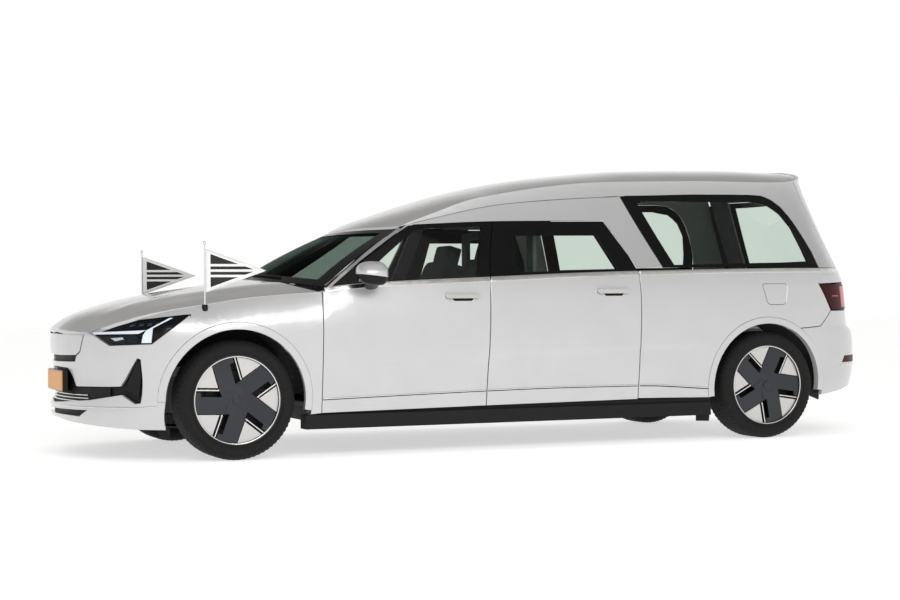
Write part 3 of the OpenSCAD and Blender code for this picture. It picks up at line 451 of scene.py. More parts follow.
def make_pair(name, bm, body, finishes, slot=None, replaces=(), **more):
    """The piece on the left, and its mirror image on the right."""
    twin = bm.copy()
    twin.normal_update()
    for v in twin.verts:
        v.co.y = -v.co.y
    bmesh.ops.reverse_faces(twin, faces=twin.faces[:])
    return (make(name, bm, body, finishes, slot, replaces, **more),
            make(other(name), twin, other(body), finishes, slot, [other(n) for n in replaces], **more))


def flat_solid(outline, thickness, holes=(), edge=3.0, open_at=None, segments=3):
    """A closed plate: its outline at w = 0, its back at w = -thickness, with its front edge rounded."""
    bm = bmesh.new()
    edges = []
    for loop in (outline, *holes):
        loop = [p for i, p in enumerate(loop) if hypot(p[0] - loop[i - 1][0], p[1] - loop[i - 1][1]) > 0.4]
        ring = [bm.verts.new((p[0], p[1], 0)) for p in loop]
        edges += [bm.edges.new((ring[i], ring[(i + 1) % len(ring)])) for i in range(len(ring))]
    bmesh.ops.triangle_fill(bm, use_beauty=True, use_dissolve=False, edges=edges, normal=(0, 0, 1))
    raised = bmesh.ops.extrude_face_region(bm, geom=bm.faces[:], use_keep_orig=True)
    bmesh.ops.translate(bm, verts=[g for g in raised["geom"] if isinstance(g, bmesh.types.BMVert)],
                        vec=(0, 0, -thickness))
    bmesh.ops.recalc_face_normals(bm, faces=bm.faces[:])
    if edge:
        rim = [e for e in bm.edges if len(e.link_faces) == 2 and all(abs(v.co.z) < 1e-6 for v in e.verts)
               and abs(e.link_faces[0].normal.dot(e.link_faces[1].normal)) < 0.3
               and not (open_at is not None and all(abs(v.co.x - open_at) < 0.5 for v in e.verts))]
        bmesh.ops.bevel(bm, geom=rim, offset=edge, offset_type="OFFSET", segments=segments, profile=0.5,
                        affect="EDGES", clamp_overlap=True, material=-1)
    return bm


def slice_up(bm, step, lines=()):
    """Cuts the plate in a grid, and along extra lines, so that it can follow a curved surface."""
    for axis in (0, 1):
        low = min(v.co[axis] for v in bm.verts)
        high = max(v.co[axis] for v in bm.verts)
        count = int((high - low) / step[axis])
        for i in range(1, count + 1):
            at = low + (high - low) * i / (count + 1)
            normal = (1, 0, 0) if axis == 0 else (0, 1, 0)
            bmesh.ops.bisect_plane(bm, geom=bm.verts[:] + bm.edges[:] + bm.faces[:], dist=1e-4,
                                   plane_co=(at, at, 0), plane_no=normal)
    for (u0, v0), (u1, v1) in lines:
        bmesh.ops.bisect_plane(bm, geom=bm.verts[:] + bm.edges[:] + bm.faces[:], dist=1e-4,
                               plane_co=(u0, v0, 0), plane_no=(v1 - v0, u0 - u1, 0))


def lay(bm, surface, proud=0.0, lining_below=None):
    """Lays the plate on a surface; faces deeper than lining_below take the second finish."""
    for f in bm.faces:
        f.material_index = 1 if lining_below is not None and all(-v.co.z > lining_below for v in f.verts) else 0
    for v in bm.verts:
        v.co = metres(*surface(v.co.x, v.co.y, -v.co.z - proud))
    bmesh.ops.recalc_face_normals(bm, faces=bm.faces[:])
    return bm


def panel(outline, surface, thickness=24, holes=(), edge=3.0, step=(55, 45), lines=(), proud=0.0, open_at=None,
          lining_below=None, segments=3):
    bm = flat_solid(outline, thickness, holes, edge, open_at, segments)
    slice_up(bm, step, lines)
    return lay(bm, surface, proud, lining_below)


def fit(name, outline, look, slot, thickness, edge, step, proud=0.0, body="body", surface=low_side):
    """A pair of plain panels, left and right."""
    return make_pair(name, panel(outline, surface, thickness, edge=edge, step=step, proud=proud), body, [look],
                     slot)


def whole(bm):
    """Closes a left half along the middle plane with its mirror image."""
    bmesh.ops.delete(bm, geom=[f for f in bm.faces if all(abs(v.co.y) < 2e-5 for v in f.verts)], context="FACES")
    for v in bm.verts:
        if abs(v.co.y) < 2e-5:
            v.co.y = 0
    bmesh.ops.mirror(bm, geom=bm.verts[:] + bm.edges[:] + bm.faces[:], axis="Y", merge_dist=1e-5)
    bmesh.ops.recalc_face_normals(bm, faces=bm.faces[:])
    return bm


def crease_lines(a, b):
    """Cuts along the body's crease between two stations."""
    return [((a, crease(a) + shift), (b, crease(b) + shift)) for shift in (0, -12, -23, -34, -46)]


# ---------------------------------------------------------------- body panels

def fenders_and_arches():
    # Front fender, cut back to the wheel arch's lip
    ring = FRONT_ARCH + LIP
    start = degrees_at(ring, 770 - HUB_Z, True)
    fender = (seen((-268, 836), (-266, 858), (-300, 856), (-420, 843), (-490, 834), (-560, 826))
              + seam_points(-560, 500) + [(533, 984)]
              + up(a_line, 262, 984, 8, -GAP)[::-1] + [(430, 256)]
              + arc(0, HUB_Z, ring, -12, start))
    make_pair("left_fender_skin", panel(fender, low_side, 20, step=(45, 40)), "body", [paint], "silver_paint",
              ["left_fender"])
    for u, r, first, stop, tag in ((0, FRONT_ARCH, -9, 180, "front"), (WHEELBASE, REAR_ARCH, -6, 189, "rear")):
        lip = seen(*arc(u, HUB_Z, r, first, stop, 60), *arc(u, HUB_Z, r + LIP - 1.2, stop, first, 60))
        fit(f"left_{tag}_arch_lip", lip, paint, "silver_paint", 34, 2.2, (24, 24), 1.6)


def side_trims_and_ledge_light(start, part, belt, rail, low, body):
    """The bright trim on the belt line, and along the moulding line a bright strip of painted highlight over a
    black strip of painted shade.
    """
    fit(f"{start}_belt_trim", band(belt, -11, 20), bright_trim, "bright_metal", 10, 4, (60, 40), 3, body)
    # A bright strip of painted highlight along the body's ledge at the moulding line
    fit(f"{start}{part}_moulding", band(rail, low, low + 7), bright_trim, "silver_paint", 6, 2.2, (60, 40), 4.5,
        body)
    # A gloss black strip of painted shade under that ledge
    fit(f"{start}{part}_moulding_seat", band(rail, -9, -3), gloss_black, "silver_paint", 3, 0.4, (60, 40), 0.9,
        body)


def doors():
    # Painted skin below the belt, lined with soft trim
    for tag, first, last in (("front", a_line, b_line), ("rear", b_line, c_line)):
        a0, a1 = first(262), last(290) - GAP
        top = [(u, z - 17) for u, z in along(shoulder, first(1010) + (3 if tag == "front" else 0),
                                             last(1066) - GAP, 10)]
        if tag == "front":
            top[0] = (a_line(990) + 1, 985)
        outline = (up(first, foot(a0), top[0][1], 8)[:-1] + top
                   + up(last, foot(a1), top[-1][1], 8, -GAP)[::-1][1:])
        skin = panel(outline, low_side, 84, step=(42, 36), lines=crease_lines(a0, a1), lining_below=60)
        make_pair(f"{tag}_left_door_skin", skin, f"{tag}_left_door", [paint, soft_trim], "silver_paint",
                  [f"{tag}_left_door"])
        side_trims_and_ledge_light(f"{tag}_left", "_door", along(shoulder, first(1040) + 2, last(1066) - GAP - 1, 12, -17),
                   along(moulding, a0 + 4, a1 - 4, 10), -4, f"{tag}_left_door")
    seal = band(along(door_top, 1200, 2130, 10), -12, 34)
    fit("left_door_seal", seal, black_plastic, "black_plastic", 4, 0.5, (60, 40), -47, surface=high_side)
    front_hole = [(770, 1046), (1223, 1374), (1650, 1390), (1545, 1072)]
    frame = ([(575, 1018), (640, 1064), (1176, 1397)] + along(door_top, 1230, b_line(1421) - GAP, 6)
             + [(b_line(z) - GAP, z) for z in (1330, 1200, 1074)] + along(shoulder, b_line(1074) - GAP, 575, 8,
                                                                          3)[1:-1])
    make_pair("front_left_window_frame", panel(frame, high_side, 34, [front_hole], edge=2.5, step=(60, 50)),
              "front_left_door", [gloss_black, soft_trim], "gloss_black")
    rear_hole = [(1826, 1100), (1850, 1334), (2420, 1338), (2518, 1120)]
    frame = ([(b_line(z), z) for z in (1074, 1200, 1330)] + along(door_top, b_line(1421), c_line(1432) - GAP, 6)
             + [(c_line(z) - GAP, z) for z in (1330, 1210, 1110)]
             + along(shoulder, c_line(1110) - GAP, b_line(1074), 8, 3)[1:-1])
    make_pair("rear_left_window_frame", panel(frame, high_side, 34, [rear_hole], edge=2.5, step=(60, 50)),
              "rear_left_door", [gloss_black, soft_trim], "gloss_black")
    for tag, hole in (("front", front_hole), ("rear", rear_hole)):
        pane = grown(hole, 9)
        make_pair(f"{tag}_left_pane", panel(pane, high_side, 4, edge=0, step=(90, 90), proud=-9),
                  f"{tag}_left_door",
                  [window_glass], "window_glass", [f"{tag}_left_glass"])


def upper_side():
    # Cant rail and the leaning pillar behind the rear door
    seam = curve((1128, 1393), (1318, 1438), (1798, 1535), (2223, 1574), (2652, 1600))
    window = window_line(0)
    cant = (along(door_top, 1180, 2470, 10, 6) + [(c_line(1432) + 2, 1437)]
            + [(c_line(z) + 1, z) for z in (1400, 1330, 1210, 1125)] + [(2850, 1131), (2648, 1597)]
            + along(seam, 2600, 1190, 14, -2.5) + [(1150, 1399)])
    fit("left_cant_panel", cant, paint, "silver_paint", 7, 2, (60, 40), surface=high_side)
    gate = at_tail((711, 1131), (680, 1260), (640, 1440), (600, 1620), (584, 1738), width=upper_w)
    over = ([(1150, 1404)] + along(seam, 1190, 2640, 14, 2.5) + window[1:-1] + [from_side(4070, 1131)]
            + gate + [(u, roof_edge(u) - 2) for u in (gate[-1][0] - 6, 4000, 3900, 3750, 3600, 3400)]
            + along(roof_edge, 3269, 1200, 14, -2))
    make_pair("left_roof_side", panel(over, high_side, 20, edge=2, step=(50, 36), lining_below=14), "body",
              [paint, headliner], "silver_paint")
    border = window_line(1.5)
    clear = window_line(0, clear=True)
    make_pair("left_window_border", panel(border, high_side, 16, [clear], edge=2, step=(60, 50), proud=-1.5),
              "body",
              [gloss_black], "gloss_black")
    make_pair("left_load_pane", panel(grown(clear, 8), high_side, 4, edge=0, step=(90, 90), proud=-7), "body",
              [window_glass], "window_glass", ["side_glass"])


def quarters():
    # The left one has the hole for the charging flap
    ring = REAR_ARCH + LIP
    bottom = degrees_at(ring, 724 - HUB_Z, False)
    tail_u = from_behind(655, 1100)[0]
    quarter_low = (up(c_line, 290, 1085, 8) + along(shoulder, 2700, tail_u, 14, -17)
                   + [from_behind(655, 1036)]
                   + seen((4038, 1022), (4138, 842), (4030, 738),
                          (WHEELBASE + ring * cos(radians(bottom)) + 6, 726),
                          *arc(WHEELBASE, HUB_Z, ring, bottom, 189)))
    lines = crease_lines(2700, 3090)
    left = panel(quarter_low, low_side, 20, [flap_line(0)], step=(45, 40), lines=lines, lining_below=14)
    make("left_quarter_skin", left, "body", [paint, soft_trim], "silver_paint", ["left_quarter"])
    right = panel(quarter_low, low_side, 20, step=(45, 40), lines=lines, lining_below=14)
    for v in right.verts:
        v.co.y = -v.co.y
    bmesh.ops.reverse_faces(right, faces=right.faces[:])
    make("right_quarter_skin", right, "body", [paint, soft_trim], "silver_paint", ["right_quarter"])
    make("charge_flap_skin", panel(flap_line(-2.2), low_side, 8, edge=1.6, step=(40, 40)), "charge_flap", [paint],
         "silver_paint", ["charge_flap"])
    make("charge_pocket", panel(flap_line(10), low_side, 4, edge=0, step=(50, 50), proud=-21), "body",
         [black_plastic],
         "black_plastic")
    side_trims_and_ledge_light("left_quarter", "", along(shoulder, 2673, tail_u - 2, 20, -17), along(moulding, 2656, 3180, 6), -3,
               "body")


def roof_and_hood():
    # Roof, from the windshield to the tailgate
    stations = (1300, 1700, 2200, 2700, 3200, 3600, 3800, 3950, 4036)
    line = ([(907 + 221 * (i / 10) ** 2 + 3, -i / 10 * roof_half(1128)) for i in range(-10, 11)]
            + [(s, -roof_half(s)) for s in stations] + [(s, roof_half(s)) for s in stations[::-1]])
    make("roof_skin", panel(line, roof_top, 26, edge=3, step=(50, 45), lining_below=20), "body",
         [paint, headliner],
         "silver_paint", ["roof"])

    # Hood
    def hood_rim(side):
        ss = [NOSE + 767 * (1 - cos(radians(a))) for a in range(9, 91, 9)] + [0, 120, 260, 400, 470]
        return [(s, side * (hood_half(s) - 3)) for s in ss]
    edge_s = 508
    back = [(hood_back(y), y) for y in [-(hood_half(edge_s) - 3) * i / 8 for i in range(-8, 9)]]
    outline = [(NOSE + 3, 0)] + hood_rim(1) + back + hood_rim(-1)[::-1]
    make("hood_skin", panel(outline, hood_top, 22, edge=3, step=(40, 45), lining_below=16), "hood",
         [paint, inner_paint],
         "silver_paint", ["hood"])


def degrees_at(r, height, ahead):
    angle = pi / 2 - acos(clamp(height / r, -1, 1))
    return 180 - angle * 180 / pi if ahead else angle * 180 / pi


def seam_points(start, stop, count=12):
    """The fender's top edge, just under the hood's seam."""
    return [from_side(s, seam_line(s) - 3) for s in [start + (stop - start) * i / count
                                                     for i in range(1, count + 1)]]


def grown(loop, amount):
    """The loop with each corner moved out from its middle."""
    cx = sum(p[0] for p in loop) / len(loop)
    cz = sum(p[1] for p in loop) / len(loop)
    return [(x + amount * (1 if x > cx else -1), z + amount * (1 if z > cz else -1)) for x, z in loop]


def window_line(inset, clear=False):
    """The load space's side window: the black border's outline, or the clear glass inside it."""
    if clear:
        corners = [(2942, 1147), (2769, 1554), (2800, 1566), (3631, 1576), (3760, 1556), (3855, 1492),
                   (3920, 1400),
                   (3962, 1260), (3981, 1166)]
    else:
        corners = [(2854, 1127), (2652, 1600), (2700, 1606), (3200, 1622), (3640, 1628), (3730, 1622),
                   (3805, 1592),
                   (3869, 1546), (3930, 1470), (3970, 1401), (4010, 1318), (4042, 1243), (4066, 1131)]
    cx, cz = 3300, 1370
    return [from_side(x + inset * (-1 if x > cx else 1), z + inset * (-1 if z > cz else 1)) for x, z in corners]


def flap_line(grow):
    """The charging flap: straight on top, narrower below, with round corners."""
    a, b, top, low, r = 3584 - grow, 3774 + grow, 1022 + grow, 882 - grow, 34 + grow
    line = (arc(a + r * 0.5, top - r * 0.5, r * 0.5, 180, 90, 6)
            + arc(b - r * 0.5, top - r * 0.5, r * 0.5, 90, 0, 6)
            + arc(b - r - 16, low + r, r, -20, -90, 6) + arc(a + r + 22, low + r, r, -90, -160, 6))
    return seen(*line)


# ---------------------------------------------------------------- nose, lamps and bumpers

LAMP = [(-790, 759), (-639, 812), (-480, 838), (-280, 851), (-493, 690), (-700, 681), (-755, 728)]


def lamp_line(grow=0.0):
    loop = seen(*LAMP)
    cx, cz = sum(p[0] for p in loop) / 7, sum(p[1] for p in loop) / 7
    return [(x + grow * (x - cx) / 120, z + grow * (1 if z > cz else -1)) for x, z in loop]


def middle_panel(name, outline, look, slot, thickness, edge, step, end, proud=0.0, replaces=()):
    """A panel drawn as its left half, which runs across the middle at the nose or the tail."""
    make(name, whole(panel(outline, low_side, thickness, edge=edge, step=step, proud=proud, open_at=end)), "body",
         [look], slot, replaces)


def nose_pieces():
    # Bumper skin: the left half, from the mouth to the arch, round the lamp and the openings
    ring = FRONT_ARCH + LIP
    mouth = at_nose((-300, 262), (-432, 258), (-505, 298))
    intake = (at_nose((-516, 358)) + seen((-640, 392), (-576, 341), (-547, 345), (-548, 599), (-566, 606),
                                          (-645, 441))
              + at_nose((-640, 438), (-500, 436), (-356, 433)))
    lamp = lamp_line(3)
    arch = seen(*[(-ring * cos(radians(a)), HUB_Z + ring * sin(radians(a))) for a in range(64, -1, -8)],
                (-416, 350))
    chin = [(u, foot(u) + (0 if u > -800 else 4)) for u in (-420, -520, -640, -760, -860)]
    outline = ([(NOSE, 236), (NOSE, 262)] + mouth + [(NOSE, 292), (NOSE, 326)] + intake + at_nose((-268, 540))
               + [(NOSE, 545), (NOSE, 575)] + at_nose((-380, 581), (-404, 612), (-455, 640), (-488, 748))
               + [lamp[i] for i in (0, 6, 5, 4, 3)] + seen((-273, 848),
                                                           (-150, 787)) + arch + seen((-412, 188)) + chin)
    make("front_bumper_skin", whole(panel(outline, low_side, step=(24, 30), open_at=NOSE)), "body",
         [paint, black_plastic], "silver_paint", ["front_bumper"])
    backing = ([(NOSE, 244)] + at_nose((-540, 246), (-640, 300), (-640, 440), (-420, 600), (-520, 745))
               + [(NOSE, 752)])
    middle_panel("nose_backing", backing, black_plastic, "black_plastic", 8, 0, (30, 60), NOSE, -22,
                 ["grille_panel"])
    deep = (seen((-520, 640), (-520, 320), (-640, 360)) + at_nose((-500, 370), (-500, 470)) + seen((-650, 480)))
    fit("left_intake_backing", deep, black_plastic, "black_plastic", 6, 0, (30, 40), -34)
    # A slanted fin in the outer intake
    fin = seen((-572, 598), (-553, 590), (-560, 380), (-636, 425))
    fit("left_intake_fin", fin, gloss_black, "gloss_black", 10, 4, (24, 30), -14)
    # Smooth closed grille panel
    closed = [(NOSE, 616)] + at_nose((-200, 616), (-398, 620), (-447, 646), (-480, 742)) + [(NOSE, 746)]
    middle_panel("closed_grille_skin", closed, paint, "silver_paint", 16, 4, (20, 24), NOSE)
    # Bright slats in the lower grille, and the long bright lip
    for z, reach in ((348, 505), (366, 492), (384, 478)):
        slat = band([(NOSE, z)] + [(from_front(-reach * i / 4, z - 3)[0], z) for i in range(1, 5)], -3, 4)
        middle_panel(f"grille_slat_{z}", slat, bright_trim, "bright_metal", 16, 2, (26, 20), NOSE, -6)
    lip = [(NOSE, 306)] + at_nose(*[(-790 * i / 12, 306 + 8 * i / 12) for i in range(1, 13)]) + seen((-446, 322))
    middle_panel("bumper_bright_lip", band(lip, 0, 9), bright_trim, "bright_metal", 12, 3, (26, 20), NOSE, 4)
    # Blank number plate on its carrier, upright just ahead of the grille panel
    plate_at = (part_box("grille_panel")[0].x - AXLE_X) * 1000 + 6

    def upright(y, z, d):
        return plate_at + d, y, z

    for name, y, low, high, thickness, edge, proud, material, slot in (
            ("number_plate", 258, 402, 518, 8, 4, 0, plate_yellow, "number_plate"),
            ("plate_carrier", 264, 396, 524, 30, 3, -5, gloss_black, "gloss_black")):
        outline = [(-y, low), (y, low), (y, high), (-y, high)]
        make(name, panel(outline, upright, thickness, edge=edge, step=(60, 60), proud=proud), "body", [material],
             slot)
    dot = arc(from_side(-447, 510)[0], 510, 11, 0, 345, 23)
    fit("left_park_sensor", dot, paint, "silver_paint", 4, 1.5, (8, 8), 1)
    head_lamps()


def head_lamps():
    fit("left_lamp_housing", lamp_line(4), lamp_dark, "lamp_glass", 10, 0, (24, 24), -26)
    parts = (
        ("running_light_bar", seen((-779, 754), (-519, 768), (-560, 747), (-772, 743)), lamp_white, -5, 8),
        ("running_light_arm", seen((-519, 766), (-386, 838), (-366, 838), (-483, 778), (-494, 694), (-545, 694),
                                  (-537, 738)), lamp_white, -5, 8),
        ("low_beam_box", seen((-730, 738), (-570, 742), (-560, 700), (-690, 690)), gloss_black, -10, 10),
        ("low_beam_mirror", seen((-700, 722), (-640, 728), (-632, 716), (-676, 704)), chrome, -7, 5),
        ("high_beam_box", seen((-640, 806), (-480, 830), (-420, 806), (-520, 772), (-690, 766)), gloss_black, -10,
         10),
        ("rear_shade", seen((-476, 776), (-352, 842), (-290, 848), (-480, 700)), gloss_black, -6, 8),
    )
    for tag, line, material, depth, thick in parts:
        fit(f"left_{tag}", line, material, "lamp_glass", thick, 1.5, (16, 16), depth)
    for i, s in enumerate((-600, -556, -512, -470)):
        cell = seen((s, 786 + i * 3), (s + 26, 789 + i * 3), (s + 34, 803 + i * 3), (s + 8, 800 + i * 3))
        fit(f"left_led_cell_{i + 1}", cell, lamp_blue, "lamp_glass", 5, 2, (12, 12), -6)
    pair = fit("left_lamp_cover", lamp_line(), lamp_cover, "lamp_glass", 3, 1, (22, 22), -1)
    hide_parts("headlights")


def tail_pieces():
    # Bumper: from the arch round to the middle
    ring = REAR_ARCH + LIP
    bottom = degrees_at(ring, 724 - HUB_Z, False)
    climb = seen(*[(WHEELBASE + ring * cos(radians(a)), HUB_Z + ring * sin(radians(a)))
                   for a in (-10, 0, 12, 24, 36, 46)], (WHEELBASE + ring * cos(radians(bottom)) + 6, 722))
    outline = (climb + seen((4034, 734), (4142, 838)) + at_tail((-690, 838), (-662, 838), (-662, 741))
               + [(TAIL, 741), (TAIL, 322)] + [(u, foot(u) + 2) for u in (4560, 4480, 4380, 4310, 4200, 4080)])
    middle_panel("rear_bumper_skin", outline, paint, "silver_paint", 24, 3, (26, 30), TAIL,
                 replaces=["rear_bumper"])
    # Black lower valance, reflector strip with its bright line, and a sensor
    valance = at_tail((-560, 352), (-600, 420)) + [(TAIL, 430), (TAIL, 336)]
    middle_panel("rear_valance", valance, black_plastic, "black_plastic", 10, 3, (26, 20), TAIL, 3)
    strip = seen((4246, 486), (4276, 532)) + at_tail((-660, 534), (-560, 530), (-560, 486))
    fit("left_rear_reflector", strip, lamp_dark_red, "tail_lamp", 8, 2, (20, 16), 2)
    line = seen((4222, 464)) + at_tail((-560, 468), (-560, 478)) + seen((4232, 474))
    fit("left_rear_bright_line", line, bright_trim, "bright_metal", 8, 2, (20, 16), 3)
    dot = arc(from_side(4150, 545)[0], 545, 10, 0, 345, 23)
    fit("left_rear_sensor", dot, paint, "silver_paint", 4, 1.5, (8, 8), 1)
    # Tail lamps: smoked outer part, bright red inner part
    lamp = seen((4041, 1018), (4146, 848)) + at_tail((-664, 848), (-646, 1018))
    pair = fit("left_tail_lamp", lamp, lamp_dark_red, "tail_lamp", 14, 4, (18, 18), 1)
    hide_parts("tail_lamps")
    glow = seen((4262, 1004), (4270, 862)) + at_tail((-672, 862), (-656, 1004))
    fit("left_tail_lamp_element", glow, lamp_red, "tail_lamp", 8, 3, (14, 18), 3)
    dash = seen((4160, 934), (4238, 934), (4238, 942), (4160, 942))
    fit("left_tail_lamp_dash", dash, lamp_red, "tail_lamp", 8, 1, (14, 18), 3)
    # Tailgate: skin below and above the belt, with its window
    lower = ([(TAIL, 746)] + at_tail((-650, 746), (-650, 850), (-650, 960), (-650, 1030), (-642, 1036),
                                     (-700, 1112))
             + [(TAIL, 1112)])
    make("tailgate_lower_skin", whole(panel(lower[::-1], low_side, 40, step=(30, 30), open_at=TAIL,
                                            lining_below=34)),
         "tailgate", [paint, soft_trim], "silver_paint")
    side = at_tail((-700, 1126), (-672, 1260), (-633, 1440), (-594, 1620), (-576, 1734), width=upper_w)
    seal = [(u + step, z) for step, line in ((-16, side[:4]), (18, side[3::-1])) for u, z in line]
    fit("left_tailgate_seal", seal, black_plastic, "black_plastic", 4, 0.5, (40, 40), -43, surface=high_side)
    top = [(u, roof_edge(u) - 1) for u in (side[-1][0] + 8, 4200, 4300, 4420, TAIL)]
    around = ([(TAIL, 1114)] + side + top + [(TAIL, 1640)] + at_tail((-490, 1640), (-560, 1150), width=upper_w)
              + [(TAIL, 1150)])
    make("tailgate_upper_skin", whole(panel(around, high_side, 36, step=(30, 30), open_at=TAIL, lining_below=30)),
         "tailgate", [paint, soft_trim], "silver_paint", ["tailgate"])
    frame = ([(TAIL, 1150)] + at_tail((-558, 1152), (-489, 1638), width=upper_w) + [(TAIL, 1638), (TAIL, 1600)]
             + at_tail((-455, 1600), (-518, 1190), width=upper_w) + [(TAIL, 1190)])
    make("tailgate_window_border", whole(panel(frame, high_side, 10, edge=1.5, step=(30, 30), open_at=TAIL,
                                               proud=-3)),
         "tailgate", [gloss_black], "gloss_black")
    pane = [(TAIL, 1180)] + at_tail((-526, 1180), (-462, 1610), width=upper_w) + [(TAIL, 1610)]
    make("tailgate_pane", whole(panel(pane, high_side, 4, edge=0, step=(40, 60), open_at=TAIL, proud=-8)),
         "tailgate", [window_glass], "window_glass", ["tailgate_glass"])


    def cap(s, f, d):
        y = f * roof_half(ROOF_END) * 0.985
        w = HALF + edge_in(TAIL_TURN)
        end = TAIL_TURN + (TAIL - TAIL_TURN - tail_in(1715)) * max(1 - (abs(y) / w) ** 3, 0) ** (1 / 3)
        return roof_top(ROOF_END + (end - ROOF_END) * s / 1000, y, d)

    lid = [(0, -1), (0, 1), (1000, 1), (1000, -1)]
    bm = flat_solid([(s, f * 600) for s, f in lid], 30)
    slice_up(bm, (90, 40))
    lay(bm, lambda s, f, d: cap(s, f / 600, d), 0, 26)
    make("tailgate_top_skin", bm, "tailgate", [paint, headliner], "silver_paint")




# ---------------------------------------------------------------- windshield, cowl and pillars

def screen(f, v, d):
    w = HALF + edge_in(1128)
    foot_pt = Vector((292 + 262 * f * f, f * (HALF - 118), 1068 - 52 * f * f))
    s = 907 + 221 * f * f
    head = Vector((s - 14, f * (w - 12), roof_top(s, f * w, 0)[2] - 14))
    p = foot_pt.lerp(head, v) + Vector((-0.5, 0, 0.86)).normalized() * (14 * sin(pi * clamp(v)) - d)
    return tuple(p)


def screen_pieces():
    def on_screen(a, b, d):
        return screen(a / 1000, b / 1000, d)

    full = [(-1000, 0), (1000, 0), (1000, 1000), (-1000, 1000)]
    hole = [(-905, 90), (905, 90), (880, 925), (-880, 925)]
    bm = flat_solid(full, 5, [hole], edge=1)
    slice_up(bm, (80, 90))
    make("windshield_border", lay(bm, on_screen), "body", [gloss_black], "gloss_black")
    bm = flat_solid([(-925, 70), (925, 70), (900, 945), (-900, 945)], 3, edge=0)
    slice_up(bm, (80, 90))
    make("windshield_pane", lay(bm, on_screen, -1), "body", [shaded_screen_glass], "window_glass", ["windshield"])
    # Grained cowl between hood and glass
    def cowl(a, b, d):
        f = a / 1000
        x, y, z = screen(f, 0, 5)
        back = hood_back(y) + 7
        front = Vector((back, y, hood_top(back, y, 0)[2] - 12))
        p = front.lerp(Vector((x + 12, y, z - 4)), b / 1000)
        return p.x, p.y, p.z - d
    bm = flat_solid([(-900, 0), (900, 0), (900, 1000), (-900, 1000)], 8, edge=2)
    slice_up(bm, (60, 400))
    make("cowl_cover", lay(bm, cowl), "body", [black_plastic], "black_plastic", ["cowl"])
    # Bright strip up each screen pillar, and the black cheek behind it
    edge = [(u, roof_edge(u)) for u in (560, 700, 850, 1000, 1128)]
    cheek = [(u, z - 1) for u, z in edge] + [(1172, 1403), (1150, 1391), (1010, 1302), (860, 1208), (700, 1108),
                                             (572, 1021)]
    fit("left_pillar_cheek", cheek, gloss_black, "gloss_black", 12, 2, (40, 30), surface=high_side)
    line = [(u, roof_edge(u) - 9) for u in (566, 700, 850, 1000, 1120)]
    line = line + [(u + 8, z - 13) for u, z in line[::-1]]
    fit("left_pillar_bright_strip", line, bright_trim, "bright_metal", 8, 3, (40, 30), 4, surface=high_side)
    # Two wiper arms resting at the foot of the glass
    for i, (f0, f1, v) in enumerate(((-0.55, 0.2, 0.05), (0.0, 0.75, 0.045))):
        left, right, low = f0 * 1000, f1 * 1000, v * 1000
        blade = [(left, low), (right, low + 30), (right, low + 44), (left, low + 22)]
        bm = flat_solid(blade, 10, edge=3)
        slice_up(bm, (60, 90))
        make(f"wiper_{i + 1}", lay(bm, on_screen, 12), "body", [black_plastic], "black_plastic")


# ---------------------------------------------------------------- wheels

def ring_spin(profile, steps, side):
    """Turns a closed profile of (radius, depth) round the axle; depth runs inwards from the tyre's face."""
    bm = bmesh.new()
    ring = [bm.verts.new((0, side * (TYRE_W / 2 - depth), r)) for r, depth in profile]
    edges = [bm.edges.new((ring[i], ring[(i + 1) % len(ring)])) for i in range(len(ring))]
    bmesh.ops.spin(bm, geom=ring + edges, cent=(0, 0, 0), axis=(0, 1, 0), dvec=(0, 0, 0), angle=2 * pi,
                   steps=steps,
                   use_merge=True, use_duplicate=False)
    bmesh.ops.remove_doubles(bm, verts=bm.verts[:], dist=0.01)
    bmesh.ops.recalc_face_normals(bm, faces=bm.faces[:])
    return bm


TREAD_STEPS = 216


def seat_on_hub(bm, hub):
    for v in bm.verts:
        v.co = hub + v.co / 1000
    return bm


